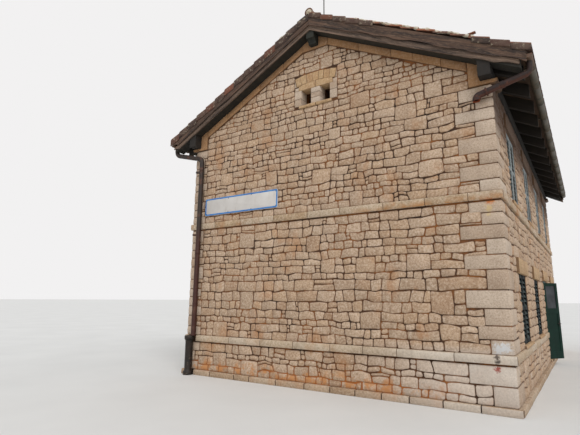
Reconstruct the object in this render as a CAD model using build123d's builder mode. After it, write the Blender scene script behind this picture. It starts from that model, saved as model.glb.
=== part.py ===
# Two-storey stone station building with a tiled gable roof.
# X runs along the gable, Y along the ridge, Z up. The origin is at ground level
# under the middle of the building, and the plain gable with the board faces -Y.
from build123d import *
import os
from math import asin, cos, hypot, pi, radians, sin

os.makedirs("parts", exist_ok=True)

# Plan
GABLE_WIDTH = 7600.0
END_BAY = 1950.0
BAY_PITCH = 2760.0
BAY_COUNT = 4
DOOR_BAY = 2
WALL_THICKNESS = 500.0

# Heights above the ground
FOOTING_TOP = 120.0
MOULDING_BOTTOM = 795.0
MOULDING_TOP = 942.0
STRING_BOTTOM = 3617.0
STRING_TOP = 3766.0
KNEELER_BOTTOM = 5800.0
WALL_TOP = 5880.0
GROUND_FLOOR_TOP = 180.0
UPPER_FLOOR_TOP = 3050.0
UPPER_FLOOR_DEPTH = 250.0
ATTIC_FLOOR_DEPTH = 200.0

# Stone bands
FOOTING_PROUD = 80.0
BAND_PROUD = 50.0
MOULDING_ROUND = 38.0
STRING_ROUND = 12.0
STONE_JOINT = 3.0

# Windows and shutters
WINDOW_WIDTH = 1100.0
LOWER_SILL = 1000.0
LOWER_HEAD = 2370.0
UPPER_SILL = 3840.0
UPPER_HEAD = 5350.0
LINTEL_HEIGHT = 300.0
LINTEL_BEARING = 220.0
LINTEL_PROUD = 60.0
LINTEL_BEVEL = 18.0
SILL_BEARING = 80.0
SILL_PROUD = 65.0
SILL_BEVEL = 25.0
WINDOW_DEPTH = 150.0
FRAME_SIZE = 60.0
GLASS_THICKNESS = 6.0
SHUTTER_THICKNESS = 42.0
SHUTTER_STILE = 62.0
SHUTTER_RAIL = 85.0
SHUTTER_JOINT = 5.0
SLAT_ROWS = 6
SLAT_SPACE = 4.0
SLAT_THICKNESS = 11.0
SLAT_HOUSING = 6.0

# Doorway and its double door
DOOR_WIDTH = 1200.0
DOOR_HEAD = 2430.0
POST_WIDTH = 60.0
POST_DEPTH = 110.0
STOP_WIDTH = 20.0
LEAF_THICKNESS = 45.0
LEAF_GAP = 6.0
MEETING_GAP = 8.0
LEAF_STILE = 85.0
LEAF_BOTTOM_RAIL = 200.0
LEAF_LOCK_RAIL = 150.0
LOCK_RAIL_TOP = 1620.0
PANEL_RECESS = 12.0
LEAF_OPENING = 38.0
PIN_OUT = 15.0
PIN_RADIUS = 5.0
PIN_CLEARANCE = 0.4
KNUCKLE_RADIUS = 10.0
KNUCKLE_HEIGHT = 45.0
HINGE_PLATE = 6.0
HINGE_REACH = 60.0
HINGE_HEIGHTS = (430.0, 2130.0)
HANDLE_HEIGHT = 1180.0
HANDLE_PLATE_WIDTH = 40.0
HANDLE_PLATE_HEIGHT = 170.0
HANDLE_REACH = 50.0
HANDLE_BAR = 9.0
HANDLE_LENGTH = 115.0

# Attic vents
VENT_WIDTH = 275.0
VENT_BOTTOM = 6360.0
VENT_HEIGHT = 400.0
VENT_SPACING = 515.0
VENT_SILL_HEIGHT = 70.0
VENT_SILL_OVERSAIL = 55.0
VENT_LINTEL = 105.0
ARCH_HALF = 520.0
ARCH_RISE = 60.0
ARCH_DEPTH = 200.0
VOUSSOIR_COUNT = 7

# Roof
ROOF_RISE = 0.518
PLATE_HEIGHT = 242.0
PLATE_WIDTH = 220.0
PLATE_PROUD = 40.0
BEAM_WIDTH = 200.0
BEAM_HEIGHT = 250.0
BEAM_SCOOP = 110.0
COPING_HEIGHT = 180.0
APEX_STONE_HALF = 347.0
KNEELER_INNER = 400.0
KNEELER_REACH = 120.0
KNEELER_HOLLOW = 60.0
KNEELER_CAVETTO = 12.0
VERGE_OVERHANG = 330.0
BEAM_END_SETBACK = 60.0
EAVE_OVERHANG = 740.0
RAFTER_SETBACK = 200.0
BOARD_SETBACK = 90.0
RAFTER_DEPTH = 240.0
RAFTER_WIDTH = 120.0
RAFTER_COUNT = 14
SOFFIT_BOARD = 25.0
ROOF_BOARD = 27.0
BATTEN_DEPTH = 60.0
BATTEN_WIDTH = 50.0
TILE_NOSE = 90.0
TILE_STEP = 35.0
TILE_COURSES = 14
RIDGE_RADIUS = 110.0
RIDGE_SHELL = 16.0
RIDGE_TOP = 8660.0
LOWER_BARGE = 125.0
UPPER_BARGE = 225.0
BARGE_THICKNESS = 30.0
PIECE_GAP = 0.5
ROD_RADIUS = 14.0
ROD_HEIGHT = 1250.0
ROD_SETBACK = 420.0
ROD_BASE = 60.0

# Rainwater goods
GUTTER_RADIUS = 70.0
GUTTER_SHELL = 4.0
GUTTER_INSET = 75.0
GUTTER_DROP = 50.0
BRACKET_WIDTH = 30.0
BRACKET_THICKNESS = 6.0
BRACKET_STEP = 3
BRACKET_SIDES = 8
PIPE_RADIUS = 62.0
PIPE_SHELL = 4.0
PIPE_STANDOFF = 125.0
PIPE_INSET = 200.0
OUTLET_SETBACK = 130.0
OUTLET_DROP = 200.0
NECK_DROP = 470.0
BROKEN_LENGTH = 90.0
BOOT_RADIUS = 92.0
BOOT_TOP = 935.0
COLLAR_RADIUS = 122.0
COLLAR_HEIGHT = 95.0
BOOT_CLEARANCE = 6.0
CLAMP_HEIGHT = 32.0
CLAMP_THICKNESS = 6.0
CLAMP_LEVELS = (3450.0, 5150.0)

# Name board
BOARD_LEFT = -3350.0
BOARD_WIDTH = 2330.0
BOARD_BOTTOM = 3955.0
BOARD_HEIGHT = 450.0
BOARD_THICKNESS = 22.0
BOARD_BATTEN = 25.0
BOARD_BATTEN_WIDTH = 60.0
BOARD_BATTEN_INSET = 465.0
BOARD_CORNER = 22.0

# Derived plan and roof values
HALF_WIDTH = GABLE_WIDTH / 2
LENGTH = 2 * END_BAY + (BAY_COUNT - 1) * BAY_PITCH
HALF_LENGTH = LENGTH / 2
INNER_WIDTH = GABLE_WIDTH - 2 * WALL_THICKNESS
INNER_LENGTH = LENGTH - 2 * WALL_THICKNESS
INNER_HALF_LENGTH = INNER_LENGTH / 2
SLOPE_COSINE = 1 / hypot(1, ROOF_RISE)
SOFFIT_APEX = WALL_TOP + PLATE_HEIGHT + ROOF_RISE * HALF_WIDTH
EAVE_EDGE = HALF_WIDTH + EAVE_OVERHANG
VERGE = HALF_LENGTH + VERGE_OVERHANG
BATTEN_BASE = RAFTER_DEPTH + ROOF_BOARD
TILE_BASE = BATTEN_BASE + BATTEN_DEPTH
PLATE_INNER = HALF_WIDTH + PLATE_PROUD - PLATE_WIDTH
KNEELER_EDGE = HALF_WIDTH - KNEELER_INNER
BEAM_HALF = BEAM_WIDTH / 2
PIPE_X = HALF_WIDTH - PIPE_INSET
PIPE_Y = -HALF_LENGTH - PIPE_STANDOFF
BOOT_ROOM = COLLAR_RADIUS + BOOT_CLEARANCE
FIRST_RAFTER = -HALF_LENGTH + WALL_THICKNESS / 2
RAFTER_PITCH = -2 * FIRST_RAFTER / (RAFTER_COUNT - 1)
RAFTER_PLACES = [FIRST_RAFTER + i * RAFTER_PITCH for i in range(RAFTER_COUNT)]

BAYS = [-HALF_LENGTH + END_BAY + i * BAY_PITCH for i in range(BAY_COUNT)]
DOOR_CENTRE = BAYS[DOOR_BAY]
DOOR_NEAR = DOOR_CENTRE - DOOR_WIDTH / 2
DOOR_FAR = DOOR_CENTRE + DOOR_WIDTH / 2
LOWER_BAYS = [y for i, y in enumerate(BAYS) if i != DOOR_BAY]


def save(piece, name):
    """Labels a finished piece and writes its file."""
    piece.part.label = name
    export_step(piece.part, f"parts/{name}.step")


def slope_z(x, depth):
    """Height of the roof layer that lies a square distance above the soffit plane."""
    return SOFFIT_APEX - ROOF_RISE * abs(x) + depth / SLOPE_COSINE


def prism_y(points, low, high, mode=Mode.ADD):
    """Adds or cuts an outline of (x, z) points carried along Y from low to high."""
    with BuildSketch(Plane.XZ.offset(-low)) as profile:
        with BuildLine():
            Polyline(*points, close=True)
        make_face()
    extrude(profile.sketch, amount=low - high, mode=mode)


def roof_layer(side, inner, outer, under, over, low, high):
    """Adds one slope of a roof layer between two distances from the ridge."""
    points = [
        (side * inner, slope_z(inner, under)),
        (side * outer, slope_z(outer, under)),
        (side * outer, slope_z(outer, over)),
        (side * inner, slope_z(inner, over)),
    ]
    prism_y(points, low, high)


def block(x_low, x_high, y_low, y_high, z_low, z_high, mode=Mode.ADD):
    """Adds or cuts a block given by its limits along each axis."""
    with BuildSketch(Plane.XY.offset(z_low)) as profile:
        with Locations(((x_low + x_high) / 2, (y_low + y_high) / 2)):
            Rectangle(x_high - x_low, y_high - y_low)
    extrude(profile.sketch, amount=z_high - z_low, mode=mode)


def wall_bar(side, low, high, bottom, top, proud, arris, bed=0.0, rounded=True):
    """Adds a stone bar along one wall, with the outer top arris rounded or bevelled."""
    outward = {"front": (0, -1, 0), "rear": (0, 1, 0), "right": (1, 0, 0), "left": (-1, 0, 0)}[side]
    reach = HALF_LENGTH if side in ("front", "rear") else HALF_WIDTH
    normal = Vector(*outward).cross(Vector(0, 0, 1))
    run = Vector(1, 0, 0) if side in ("front", "rear") else Vector(0, 1, 0)
    start = low if normal.dot(run) > 0 else high
    origin = Vector(*outward) * reach + run * start
    with BuildSketch(Plane(origin=origin, x_dir=outward, z_dir=normal)) as profile:
        with BuildLine():
            ends = ((proud - arris, top), (proud, top - arris))
            Polyline(ends[1], (proud, bottom), (-bed, bottom), (-bed, top), ends[0])
            if rounded:
                RadiusArc(*ends, arris)
            else:
                Line(*ends)
        make_face()
    extrude(profile.sketch, amount=high - low)


def boot_notch(bottom, top, proud):
    """Cuts the room that the drain boot takes out of a band on the front wall."""
    front = -HALF_LENGTH - proud
    block(-PIPE_X - BOOT_ROOM, -PIPE_X + BOOT_ROOM, front, -HALF_LENGTH, bottom, top, Mode.SUBTRACT)


# Footing: four runs of pale slabs under the walls
with BuildPart() as footing:
    outer = HALF_WIDTH + FOOTING_PROUD
    for side in (-1, 1):
        y_low = -HALF_LENGTH - FOOTING_PROUD if side < 0 else INNER_HALF_LENGTH
        y_high = -INNER_HALF_LENGTH if side < 0 else HALF_LENGTH + FOOTING_PROUD
        block(-outer, outer, y_low, y_high, 0, FOOTING_TOP)
    for side in (-1, 1):
        x_low = -outer if side < 0 else INNER_WIDTH / 2
        x_high = -INNER_WIDTH / 2 if side < 0 else outer
        y_end = INNER_HALF_LENGTH - STONE_JOINT
        block(x_low, x_high, -y_end, y_end, 0, FOOTING_TOP)
    boot_notch(0, FOOTING_TOP, FOOTING_PROUD)
save(footing, "footing")


def gable_outline():
    """Outline of a gable wall under its coping and kneelers, as (x, z) points."""
    under = SOFFIT_APEX - COPING_HEIGHT
    flat = under - ROOF_RISE * APEX_STONE_HALF
    shoulder = under - ROOF_RISE * KNEELER_EDGE
    right = [
        (HALF_WIDTH, FOOTING_TOP),
        (HALF_WIDTH, KNEELER_BOTTOM),
        (KNEELER_EDGE, KNEELER_BOTTOM),
        (KNEELER_EDGE, shoulder),
        (APEX_STONE_HALF, flat),
    ]
    return right + [(-x, z) for x, z in reversed(right)]


def arch_joint(i):
    """The two ends, as (x, z) points, of the joint plane before voussoir i of the arch."""
    radius = (ARCH_HALF**2 + ARCH_RISE**2) / (2 * ARCH_RISE)
    centre_z = VENT_BOTTOM + VENT_HEIGHT + VENT_LINTEL + ARCH_RISE - radius
    turn = asin(ARCH_HALF / radius) * (2 * i / VOUSSOIR_COUNT - 1)
    return [(r * sin(turn), centre_z + r * cos(turn)) for r in (radius, radius + ARCH_DEPTH)]


ARCH_JOINTS = [arch_joint(i) for i in range(VOUSSOIR_COUNT + 1)]


def gable_wall(name, low, high):
    """A gable wall with its two attic vents and the bed of the arch over them cut through."""
    with BuildPart() as wall:
        prism_y(gable_outline(), low, high)
        arch_bed = [joint[0] for joint in ARCH_JOINTS] + [joint[1] for joint in reversed(ARCH_JOINTS)]
        prism_y(arch_bed, low, high, Mode.SUBTRACT)
        for x in (-VENT_SPACING / 2, VENT_SPACING / 2):
            vent_top = VENT_BOTTOM + VENT_HEIGHT
            block(x - VENT_WIDTH / 2, x + VENT_WIDTH / 2, low, high, VENT_BOTTOM, vent_top, Mode.SUBTRACT)
    save(wall, name)


gable_wall("front_gable_wall", -HALF_LENGTH, -INNER_HALF_LENGTH)
gable_wall("rear_gable_wall", INNER_HALF_LENGTH, HALF_LENGTH)

# Relieving arch of wedge stones over each pair of vents
with BuildPart() as vent_arches:
    for low in (-HALF_LENGTH, INNER_HALF_LENGTH):
        for near, far in zip(ARCH_JOINTS, ARCH_JOINTS[1:]):
            prism_y([near[0], near[1], far[1], far[0]], low, low + WALL_THICKNESS)
save(vent_arches, "vent_arches")


def side_wall(name, side, y_low, y_high, z_low, z_high, windows):
    """A length of side wall; windows are (centre, band top, sill, head) groups."""
    with BuildPart() as wall:
        offset = INNER_WIDTH / 2 if side > 0 else -HALF_WIDTH
        with BuildSketch(Plane.YZ.offset(offset)) as profile:
            with Locations(((y_low + y_high) / 2, (z_low + z_high) / 2)):
                Rectangle(y_high - y_low, z_high - z_low)
            for centre, band_top, sill, head in windows:
                cuts = (
                    (WINDOW_WIDTH, band_top, head + LINTEL_HEIGHT),
                    (WINDOW_WIDTH + 2 * SILL_BEARING, band_top, sill),
                    (WINDOW_WIDTH + 2 * LINTEL_BEARING, head, head + LINTEL_HEIGHT),
                )
                for width, low, high in cuts:
                    with Locations((centre, (low + high) / 2)):
                        Rectangle(width, high - low, mode=Mode.SUBTRACT)
            if z_low < DOOR_HEAD:
                with Locations((DOOR_CENTRE, DOOR_HEAD + LINTEL_HEIGHT / 2)):
                    Rectangle(DOOR_WIDTH + 2 * LINTEL_BEARING, LINTEL_HEIGHT, mode=Mode.SUBTRACT)
            if z_low < DOOR_HEAD and y_low < DOOR_NEAR and y_high > DOOR_FAR:
                with Locations((DOOR_CENTRE, (z_low + DOOR_HEAD) / 2)):
                    Rectangle(DOOR_WIDTH, DOOR_HEAD - z_low, mode=Mode.SUBTRACT)
        extrude(profile.sketch, amount=WALL_THICKNESS)
    save(wall, name)


def lower_windows(low, high):
    """The ground-floor windows whose centres lie between two places along a side wall."""
    return [(y, MOULDING_TOP, LOWER_SILL, LOWER_HEAD) for y in LOWER_BAYS if low < y < high]


UPPER_WINDOWS = [(y, STRING_TOP, UPPER_SILL, UPPER_HEAD) for y in BAYS]
END = INNER_HALF_LENGTH
OVER_DOOR = DOOR_HEAD + LINTEL_HEIGHT

# The right wall is split beside its doorway, and the left wall is one length with the doorway cut in it
side_wall("right_wall_near", 1, -END, DOOR_NEAR, FOOTING_TOP, OVER_DOOR, lower_windows(-END, DOOR_NEAR))
side_wall("right_wall_far", 1, DOOR_FAR, END, FOOTING_TOP, OVER_DOOR, lower_windows(DOOR_FAR, END))
side_wall("right_wall_upper", 1, -END, END, OVER_DOOR, WALL_TOP, UPPER_WINDOWS)
side_wall("left_wall_lower", -1, -END, END, FOOTING_TOP, OVER_DOOR, lower_windows(-END, END))
side_wall("left_wall_upper", -1, -END, END, OVER_DOOR, WALL_TOP, UPPER_WINDOWS)

# Plinth moulding, broken at the doorways, and the string course
with BuildPart() as plinth_moulding:
    for side in ("front", "rear"):
        edge = HALF_WIDTH + BAND_PROUD
        wall_bar(side, -edge, edge, MOULDING_BOTTOM, MOULDING_TOP, BAND_PROUD, MOULDING_ROUND)
    for side in ("right", "left"):
        edge = HALF_LENGTH - STONE_JOINT
        wall_bar(side, -edge, DOOR_NEAR, MOULDING_BOTTOM, MOULDING_TOP, BAND_PROUD, MOULDING_ROUND)
        wall_bar(side, DOOR_FAR, edge, MOULDING_BOTTOM, MOULDING_TOP, BAND_PROUD, MOULDING_ROUND)
    boot_notch(MOULDING_BOTTOM, MOULDING_TOP, BAND_PROUD)
save(plinth_moulding, "plinth_moulding")

with BuildPart() as string_course:
    for side in ("front", "rear"):
        edge = HALF_WIDTH + BAND_PROUD
        wall_bar(side, -edge, edge, STRING_BOTTOM, STRING_TOP, BAND_PROUD, STRING_ROUND)
    for side in ("right", "left"):
        edge = HALF_LENGTH - STONE_JOINT
        wall_bar(side, -edge, edge, STRING_BOTTOM, STRING_TOP, BAND_PROUD, STRING_ROUND)
save(string_course, "string_course")


# Lintels over every window and door, as (centre, width, head) groups, and the sills below
LINTELS = [(y, WINDOW_WIDTH, LOWER_HEAD) for y in LOWER_BAYS]
LINTELS += [(y, WINDOW_WIDTH, UPPER_HEAD) for y in BAYS]
LINTELS += [(DOOR_CENTRE, DOOR_WIDTH, DOOR_HEAD)]
with BuildPart() as lintels:
    for side in ("right", "left"):
        for centre, width, head in LINTELS:
            half = width / 2 + LINTEL_BEARING
            run = (centre - half, centre + half, head, head + LINTEL_HEIGHT)
            wall_bar(side, *run, LINTEL_PROUD, LINTEL_BEVEL, WALL_THICKNESS, rounded=False)
save(lintels, "lintels")

with BuildPart() as sills:
    half = WINDOW_WIDTH / 2 + SILL_BEARING
    runs = [(y - half, y + half, MOULDING_TOP, LOWER_SILL) for y in LOWER_BAYS]
    runs += [(y - half, y + half, STRING_TOP, UPPER_SILL) for y in BAYS]
    for side in ("right", "left"):
        for run in runs:
            wall_bar(side, *run, SILL_PROUD, SILL_BEVEL, WALL_THICKNESS, rounded=False)
        threshold = (DOOR_NEAR, DOOR_FAR, FOOTING_TOP, GROUND_FLOOR_TOP)
        wall_bar(side, *threshold, BAND_PROUD, SILL_BEVEL, WALL_THICKNESS, rounded=False)
save(sills, "sills")

with BuildPart() as vent_sills:
    half = VENT_SPACING / 2 + VENT_WIDTH / 2 + VENT_SILL_OVERSAIL
    bottom = VENT_BOTTOM - VENT_SILL_HEIGHT
    for side in ("front", "rear"):
        wall_bar(side, -half, half, bottom, VENT_BOTTOM, BAND_PROUD, STRING_ROUND)
save(vent_sills, "vent_sills")

# Raking coping: a band up each slope and a notched apex stone under the ridge beam
with BuildPart() as copings:
    for low in (-HALF_LENGTH - BAND_PROUD, INNER_HALF_LENGTH):
        high = low + WALL_THICKNESS + BAND_PROUD
        flat = slope_z(APEX_STONE_HALF, 0) - COPING_HEIGHT
        beam_shoulder = slope_z(BEAM_HALF, 0)
        for side in (-1, 1):
            points = []
            for x, drop in (
                (APEX_STONE_HALF + STONE_JOINT, COPING_HEIGHT),
                (KNEELER_EDGE - STONE_JOINT, COPING_HEIGHT),
                (KNEELER_EDGE - STONE_JOINT, 0),
                (APEX_STONE_HALF + STONE_JOINT, 0),
            ):
                points.append((side * x, slope_z(x, 0) - drop))
            prism_y(points, low, high)
        right = [
            (APEX_STONE_HALF, flat),
            (APEX_STONE_HALF, slope_z(APEX_STONE_HALF, 0)),
            (BEAM_HALF, beam_shoulder),
            (BEAM_HALF, beam_shoulder - BEAM_HEIGHT),
        ]
        prism_y(right + [(-x, z) for x, z in reversed(right)], low, high)
save(copings, "copings")

# Kneelers close the foot of each coping and carry the wall plates past the corner
with BuildPart() as kneelers:
    for low in (-HALF_LENGTH - BAND_PROUD, INNER_HALF_LENGTH):
        high = low + WALL_THICKNESS + BAND_PROUD
        for side in (-1, 1):
            tip = HALF_WIDTH + KNEELER_REACH
            hollow_z = KNEELER_BOTTOM + KNEELER_HOLLOW / 2 + KNEELER_CAVETTO
            with BuildSketch(Plane.XZ.offset(-low)) as profile:
                with BuildLine():
                    Polyline(
                        (side * HALF_WIDTH, KNEELER_BOTTOM),
                        (side * KNEELER_EDGE, KNEELER_BOTTOM),
                        (side * KNEELER_EDGE, slope_z(KNEELER_EDGE, 0)),
                        (side * PLATE_INNER, slope_z(PLATE_INNER, 0)),
                        (side * PLATE_INNER, WALL_TOP),
                        (side * tip, WALL_TOP),
                        (side * tip, KNEELER_BOTTOM + KNEELER_HOLLOW),
                    )
                    ThreePointArc(
                        (side * tip, KNEELER_BOTTOM + KNEELER_HOLLOW),
                        (side * (HALF_WIDTH + tip) / 2, hollow_z),
                        (side * HALF_WIDTH, KNEELER_BOTTOM),
                    )
                make_face()
            extrude(profile.sketch, amount=low - high)
save(kneelers, "kneelers")

# Floors between the walls
FLOORS = (
    ("ground_floor", 0, GROUND_FLOOR_TOP),
    ("upper_floor", UPPER_FLOOR_TOP - UPPER_FLOOR_DEPTH, UPPER_FLOOR_TOP),
    ("attic_floor", WALL_TOP - ATTIC_FLOOR_DEPTH, WALL_TOP),
)
for name, low, high in FLOORS:
    with BuildPart() as floor:
        with BuildSketch(Plane.XY.offset(low)) as profile:
            Rectangle(INNER_WIDTH, INNER_LENGTH)
        extrude(profile.sketch, amount=high - low)
    save(floor, name)

# Roof timbers: ridge beam, wall plates and rafters
BEAM_END = VERGE - BEAM_END_SETBACK
with BuildPart() as ridge_beam:
    beam_top = slope_z(BEAM_HALF, 0)
    points = [
        (BEAM_HALF, beam_top),
        (0, SOFFIT_APEX),
        (-BEAM_HALF, beam_top),
        (-BEAM_HALF, beam_top - BEAM_HEIGHT),
        (BEAM_HALF, beam_top - BEAM_HEIGHT),
    ]
    prism_y(points, -BEAM_END, BEAM_END)
    with BuildSketch(Plane.YZ.offset(-BEAM_HALF)) as profile:
        with Locations((-BEAM_END, beam_top - BEAM_HEIGHT), (BEAM_END, beam_top - BEAM_HEIGHT)):
            Circle(BEAM_SCOOP)
    extrude(profile.sketch, amount=BEAM_WIDTH, mode=Mode.SUBTRACT)
save(ridge_beam, "ridge_beam")

with BuildPart() as wall_plates:
    for side in (-1, 1):
        plate_outer = PLATE_INNER + PLATE_WIDTH
        points = [
            (side * PLATE_INNER, WALL_TOP),
            (side * plate_outer, WALL_TOP),
            (side * plate_outer, slope_z(plate_outer, 0)),
            (side * PLATE_INNER, slope_z(PLATE_INNER, 0)),
        ]
        prism_y(points, -BEAM_END, BEAM_END)
save(wall_plates, "wall_plates")

with BuildPart() as rafters:
    foot = EAVE_EDGE - RAFTER_SETBACK
    verge_inner = VERGE - BARGE_THICKNESS * 2
    for side in (-1, 1):
        for place in RAFTER_PLACES:
            low = place - RAFTER_WIDTH / 2
            roof_layer(side, PIECE_GAP, foot, 0, RAFTER_DEPTH, low, low + RAFTER_WIDTH)
        for low in (-verge_inner, verge_inner - RAFTER_WIDTH):
            roof_layer(side, PIECE_GAP, foot, SOFFIT_BOARD, RAFTER_DEPTH, low, low + RAFTER_WIDTH)
save(rafters, "rafters")

with BuildPart() as verge_soffits:
    for side in (-1, 1):
        for low in (-verge_inner, HALF_LENGTH):
            high = low + verge_inner - HALF_LENGTH
            roof_layer(side, PIECE_GAP, foot, 0, SOFFIT_BOARD, low, high)
save(verge_soffits, "verge_soffits")

with BuildPart() as roof_boards:
    for side in (-1, 1):
        board_edge = EAVE_EDGE - BOARD_SETBACK
        roof_layer(side, PIECE_GAP, board_edge, RAFTER_DEPTH, BATTEN_BASE, -verge_inner, verge_inner)
save(roof_boards, "roof_boards")

TILE_GAUGE = EAVE_EDGE / TILE_COURSES
with BuildPart() as battens:
    for side in (-1, 1):
        for i in range(TILE_COURSES):
            outer = (i + 1) * TILE_GAUGE - BOARD_SETBACK
            inner = outer - BATTEN_WIDTH
            roof_layer(side, inner, outer, BATTEN_BASE, TILE_BASE, -verge_inner, verge_inner)
save(battens, "battens")

# Tile slopes: courses that step down at each nose
for side, word in ((1, "right"), (-1, "left")):
    with BuildPart() as tiles:
        points = [
            (side * EAVE_EDGE, slope_z(EAVE_EDGE, TILE_BASE)),
            (side * PIECE_GAP, slope_z(PIECE_GAP, TILE_BASE)),
        ]
        tail = TILE_BASE + TILE_NOSE - TILE_STEP
        for i in range(TILE_COURSES):
            head = max(i * TILE_GAUGE, PIECE_GAP)
            nose = (i + 1) * TILE_GAUGE
            points.append((side * head, slope_z(head, tail)))
            points.append((side * nose, slope_z(nose, TILE_BASE + TILE_NOSE)))
        prism_y(points, -VERGE, VERGE)
    save(tiles, f"{word}_tiles")

# Ridge capping bedded on the upper courses
with BuildPart() as ridge_tiles:
    crown = RIDGE_TOP - RIDGE_RADIUS
    inner = RIDGE_RADIUS - RIDGE_SHELL
    tail = TILE_BASE + TILE_NOSE - TILE_STEP
    rise = TILE_STEP / TILE_GAUGE
    foot_outer = slope_z(RIDGE_RADIUS, tail + rise * RIDGE_RADIUS)
    foot_inner = slope_z(inner, tail + rise * inner)
    with BuildSketch(Plane.XZ.offset(VERGE)) as profile:
        with BuildLine():
            Polyline((RIDGE_RADIUS, crown), (RIDGE_RADIUS, foot_outer), (inner, foot_inner), (inner, crown))
            ThreePointArc((inner, crown), (0, crown + inner), (-inner, crown))
            left_foot = ((-inner, foot_inner), (-RIDGE_RADIUS, foot_outer))
            Polyline((-inner, crown), *left_foot, (-RIDGE_RADIUS, crown))
            ThreePointArc((-RIDGE_RADIUS, crown), (0, RIDGE_TOP), (RIDGE_RADIUS, crown))
        make_face()
    extrude(profile.sketch, amount=-2 * VERGE)
save(ridge_tiles, "ridge_tiles")

# Bargeboards: a lower strip with the taller upper board lapped over its face
BOARD_FOOT = EAVE_EDGE - BOARD_SETBACK
LAP = LOWER_BARGE + UPPER_BARGE - (RAFTER_DEPTH + ROOF_BOARD + BATTEN_DEPTH)
with BuildPart() as bargeboards:
    for facing in (-1, 1):
        inner_face = facing * (VERGE - 2 * BARGE_THICKNESS)
        middle = facing * (VERGE - BARGE_THICKNESS)
        outer_face = facing * VERGE
        for side in (-1, 1):
            low, high = sorted((inner_face, middle))
            roof_layer(side, PIECE_GAP, BOARD_FOOT, 0, LOWER_BARGE, low, high)
            low, high = sorted((middle + facing * PIECE_GAP, outer_face))
            roof_layer(side, PIECE_GAP, BOARD_FOOT, LOWER_BARGE - LAP, TILE_BASE, low, high)
save(bargeboards, "bargeboards")

# Plain rod standing on the ridge
with BuildPart() as ridge_rod:
    rod_y = -HALF_LENGTH + ROD_SETBACK
    with BuildSketch(Plane.XY.offset(RIDGE_TOP)) as profile:
        with Locations((0, rod_y)):
            Circle(ROD_RADIUS)
    extrude(profile.sketch, amount=ROD_HEIGHT)
    with BuildSketch(Plane.XY.offset(RIDGE_TOP)) as profile:
        with Locations((0, rod_y)):
            Circle(ROD_BASE / 2)
    extrude(profile.sketch, amount=ROD_BASE / 2)
save(ridge_rod, "ridge_rod")

# Half-round gutters hung under the tile edge, with strap brackets on the rafter ends
GUTTER_X = EAVE_EDGE - GUTTER_INSET
GUTTER_Z = slope_z(EAVE_EDGE, TILE_BASE) - GUTTER_DROP
GUTTER_END = VERGE - BARGE_THICKNESS
with BuildPart() as gutters:
    for side in (-1, 1):
        with BuildSketch(Plane.XZ.offset(GUTTER_END)) as profile:
            with Locations((side * GUTTER_X, GUTTER_Z)):
                Circle(GUTTER_RADIUS)
                Circle(GUTTER_RADIUS - GUTTER_SHELL, mode=Mode.SUBTRACT)
                with Locations((0, GUTTER_RADIUS)):
                    Rectangle(3 * GUTTER_RADIUS, 2 * GUTTER_RADIUS, mode=Mode.SUBTRACT)
        extrude(profile.sketch, amount=-2 * GUTTER_END)
        for low in (-GUTTER_END, GUTTER_END - GUTTER_SHELL):
            with BuildSketch(Plane.XZ.offset(-low)) as profile:
                with Locations((side * GUTTER_X, GUTTER_Z)):
                    Circle(GUTTER_RADIUS)
                    with Locations((0, GUTTER_RADIUS)):
                        Rectangle(3 * GUTTER_RADIUS, 2 * GUTTER_RADIUS, mode=Mode.SUBTRACT)
            extrude(profile.sketch, amount=-GUTTER_SHELL)
save(gutters, "gutters")

with BuildPart() as gutter_brackets:
    # The strap is folded flat by flat, and each flat touches the gutter at its middle
    corner = 1 / cos(pi / BRACKET_SIDES)
    strap = GUTTER_RADIUS + BRACKET_THICKNESS
    turn = 180 / BRACKET_SIDES
    for side in (-1, 1):
        for place in RAFTER_PLACES[::BRACKET_STEP]:
            low = place - BRACKET_WIDTH / 2
            with BuildSketch(Plane.XZ.offset(-low)) as profile:
                with Locations((side * GUTTER_X, GUTTER_Z)):
                    RegularPolygon(strap * corner, BRACKET_SIDES, rotation=turn)
                    RegularPolygon(GUTTER_RADIUS * corner, BRACKET_SIDES, rotation=turn, mode=Mode.SUBTRACT)
                    with Locations((0, strap)):
                        Rectangle(3 * strap, 2 * strap, mode=Mode.SUBTRACT)
                arm_outer = GUTTER_X - GUTTER_RADIUS
                with Locations((side * (foot + arm_outer) / 2, GUTTER_Z - BRACKET_WIDTH / 2)):
                    Rectangle(arm_outer - foot, BRACKET_WIDTH)
            extrude(profile.sketch, amount=-BRACKET_WIDTH)
save(gutter_brackets, "gutter_brackets")


def pipe_run(points):
    """Adds a round tube along straight runs that meet in mitred elbows."""
    with BuildLine() as route:
        Polyline(*points)
    with BuildSketch(Plane(origin=points[0], z_dir=route.line % 0)) as profile:
        Circle(PIPE_RADIUS)
        Circle(PIPE_RADIUS - PIPE_SHELL, mode=Mode.SUBTRACT)
    sweep(profile.sketch, path=route.line, transition=Transition.RIGHT)


# Rainwater pipes on the front gable: the left one whole, the right one a broken neck
OUTLET_Y = -HALF_LENGTH - OUTLET_SETBACK
OUTLET_TOP = GUTTER_Z - GUTTER_RADIUS
NECK_TOP = OUTLET_TOP - OUTLET_DROP
NECK_BOTTOM = OUTLET_TOP - NECK_DROP
with BuildPart() as downpipe:
    points = [
        (-GUTTER_X, OUTLET_Y, OUTLET_TOP - PIECE_GAP),
        (-GUTTER_X, OUTLET_Y, NECK_TOP),
        (-PIPE_X, PIPE_Y, NECK_BOTTOM),
        (-PIPE_X, PIPE_Y, BOOT_TOP),
    ]
    pipe_run(points)
save(downpipe, "downpipe")

with BuildPart() as broken_pipe:
    points = [
        (GUTTER_X, OUTLET_Y, OUTLET_TOP - PIECE_GAP),
        (GUTTER_X, OUTLET_Y, NECK_TOP),
        (PIPE_X, PIPE_Y, NECK_BOTTOM),
        (PIPE_X, PIPE_Y, NECK_BOTTOM - BROKEN_LENGTH),
    ]
    pipe_run(points)
save(broken_pipe, "broken_pipe")

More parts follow.
